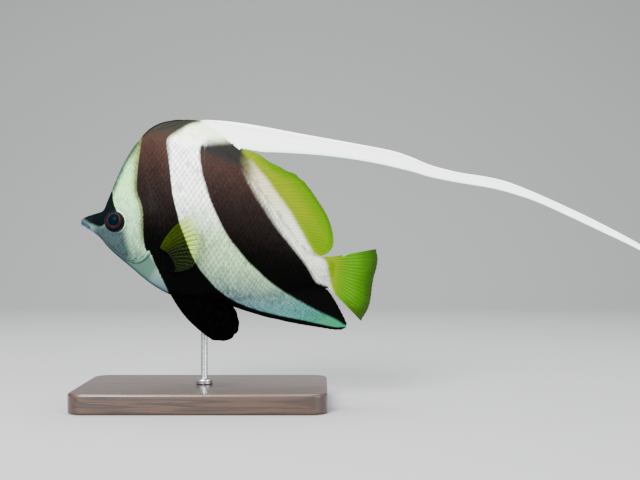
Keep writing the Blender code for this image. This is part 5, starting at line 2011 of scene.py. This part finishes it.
def lay_heights(fins: Fins, median: Iterable[MedianFin], net: Net) -> None:
    """Lays the form of the fish over the plane on the net, for the markings and the scales.

    Args:
        fins: The fins and the body that they grow on.
        median: The fins on the middle plane, whose blades carry the flank on past the back and the keel.
        net: The net. It takes the layers "smooth", the flank without relief, "height", the flank with the
            gill cover, "inset", the depth inside the whole outline, and "coat", 1 where scales lie.
    """
    last = len(STATIONS) - 1.0
    turn, station = np.meshgrid(np.linspace(0.5, 179.5, 560), np.linspace(0, last, 1100))
    flanks = {"smooth": fins.body.at(station, turn), "height": fins.body.surface(station, turn, False)}
    grids = [fin.blade.lattice() for fin in median]
    blades = [net.spread(grid["along"], grid["up"], grid["half"]) for grid in grids]
    for name, flank in flanks.items():
        layer = net.spread(flank[..., 0], flank[..., 1], flank[..., 2])
        for blade in blades:
            layer = np.fmax(layer, blade)
        net.layers[name] = filled_out(layer, 14)
    net.layers["inset"] = depth_inside(fins.whole_outline(), net.along, net.up)
    coats = [scales.depth(net.along, net.up) for scales in SCALE_FIELDS]
    net.layers["coat"] = eased(np.max(coats, axis=0), 0.0, 1.5)


def main() -> None:
    logging.basicConfig(level=logging.INFO, format="%(name)s %(message)s")
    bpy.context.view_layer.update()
    plane, net = SwimPlane(), Net()
    body = Body(plane, net)
    fins = Fins(body)
    median = fins.median()
    lay_heights(fins, median, net)
    marks = Markings(plane, net)
    marks.lay()

    coat = CoatFinish()
    skin = coat.material("coat_skin")
    body.build(skin, marks)
    scale_finish = coat.material("coat_scales", scaled=True)
    for scales in SCALE_FIELDS:
        for side in Side:
            scales.build(body, marks, side, scale_finish)

    fin_coat, tail = coat.material("coat_fins", finned=True), TailFinish().material()
    for fin in median:
        fin.build(plane, marks, tail if fin.name == "tail_blade" else fin_coat)
    pectoral = PectoralFinish().material()
    # The pelvic fin's own black, made near black as painted shade.
    pelvic = PlainFinish(paint(0.0003, 0.0003, 0.0004), paint(0.0006, 0.0006, 0.0007), 3.0, 0.5,
                         shine=0.0).material("pelvic_black_and_shade")
    for fin in fins.paired():
        for side in Side:
            fin.build(body, side, marks, pectoral if fin.name == "pectoral_fin" else pelvic)
    Pennant(plane).build(PennantFinish().material())

    eye, fold = Eye(body), GillFold(body)
    eye_finish = EyeFinish().material()
    rim_finish = PlainFinish(paint(0.0012, 0.0022, 0.004), paint(0.003, 0.004, 0.006), 2.0, 0.35,
                             shine=0.08).material("eye_rim_dark")
    for side in Side:
        eye.build(side, eye_finish)
        eye.build_rim(side, rim_finish)
        fold.build(side, marks, skin)
    lips = PlainFinish(paint(0.011, 0.035, 0.048), paint(0.019, 0.040, 0.048), 2.2, 0.34,
                       shine=0.08).material("lip_pale")
    # The dark of the mouth's groove: painted shade.
    dark = PlainFinish(paint(0.006, 0.005, 0.006), paint(0.02, 0.01, 0.012), 1.0, 0.5).material("mouth_painted_shade")
    Mouth(body).build(lips, dark)

    stand = Stand()
    stand.build_base(WoodFinish().material())
    stand.build_rod(SteelFinish().material())
    Studio().build()


if __name__ == "__main__":
    main()
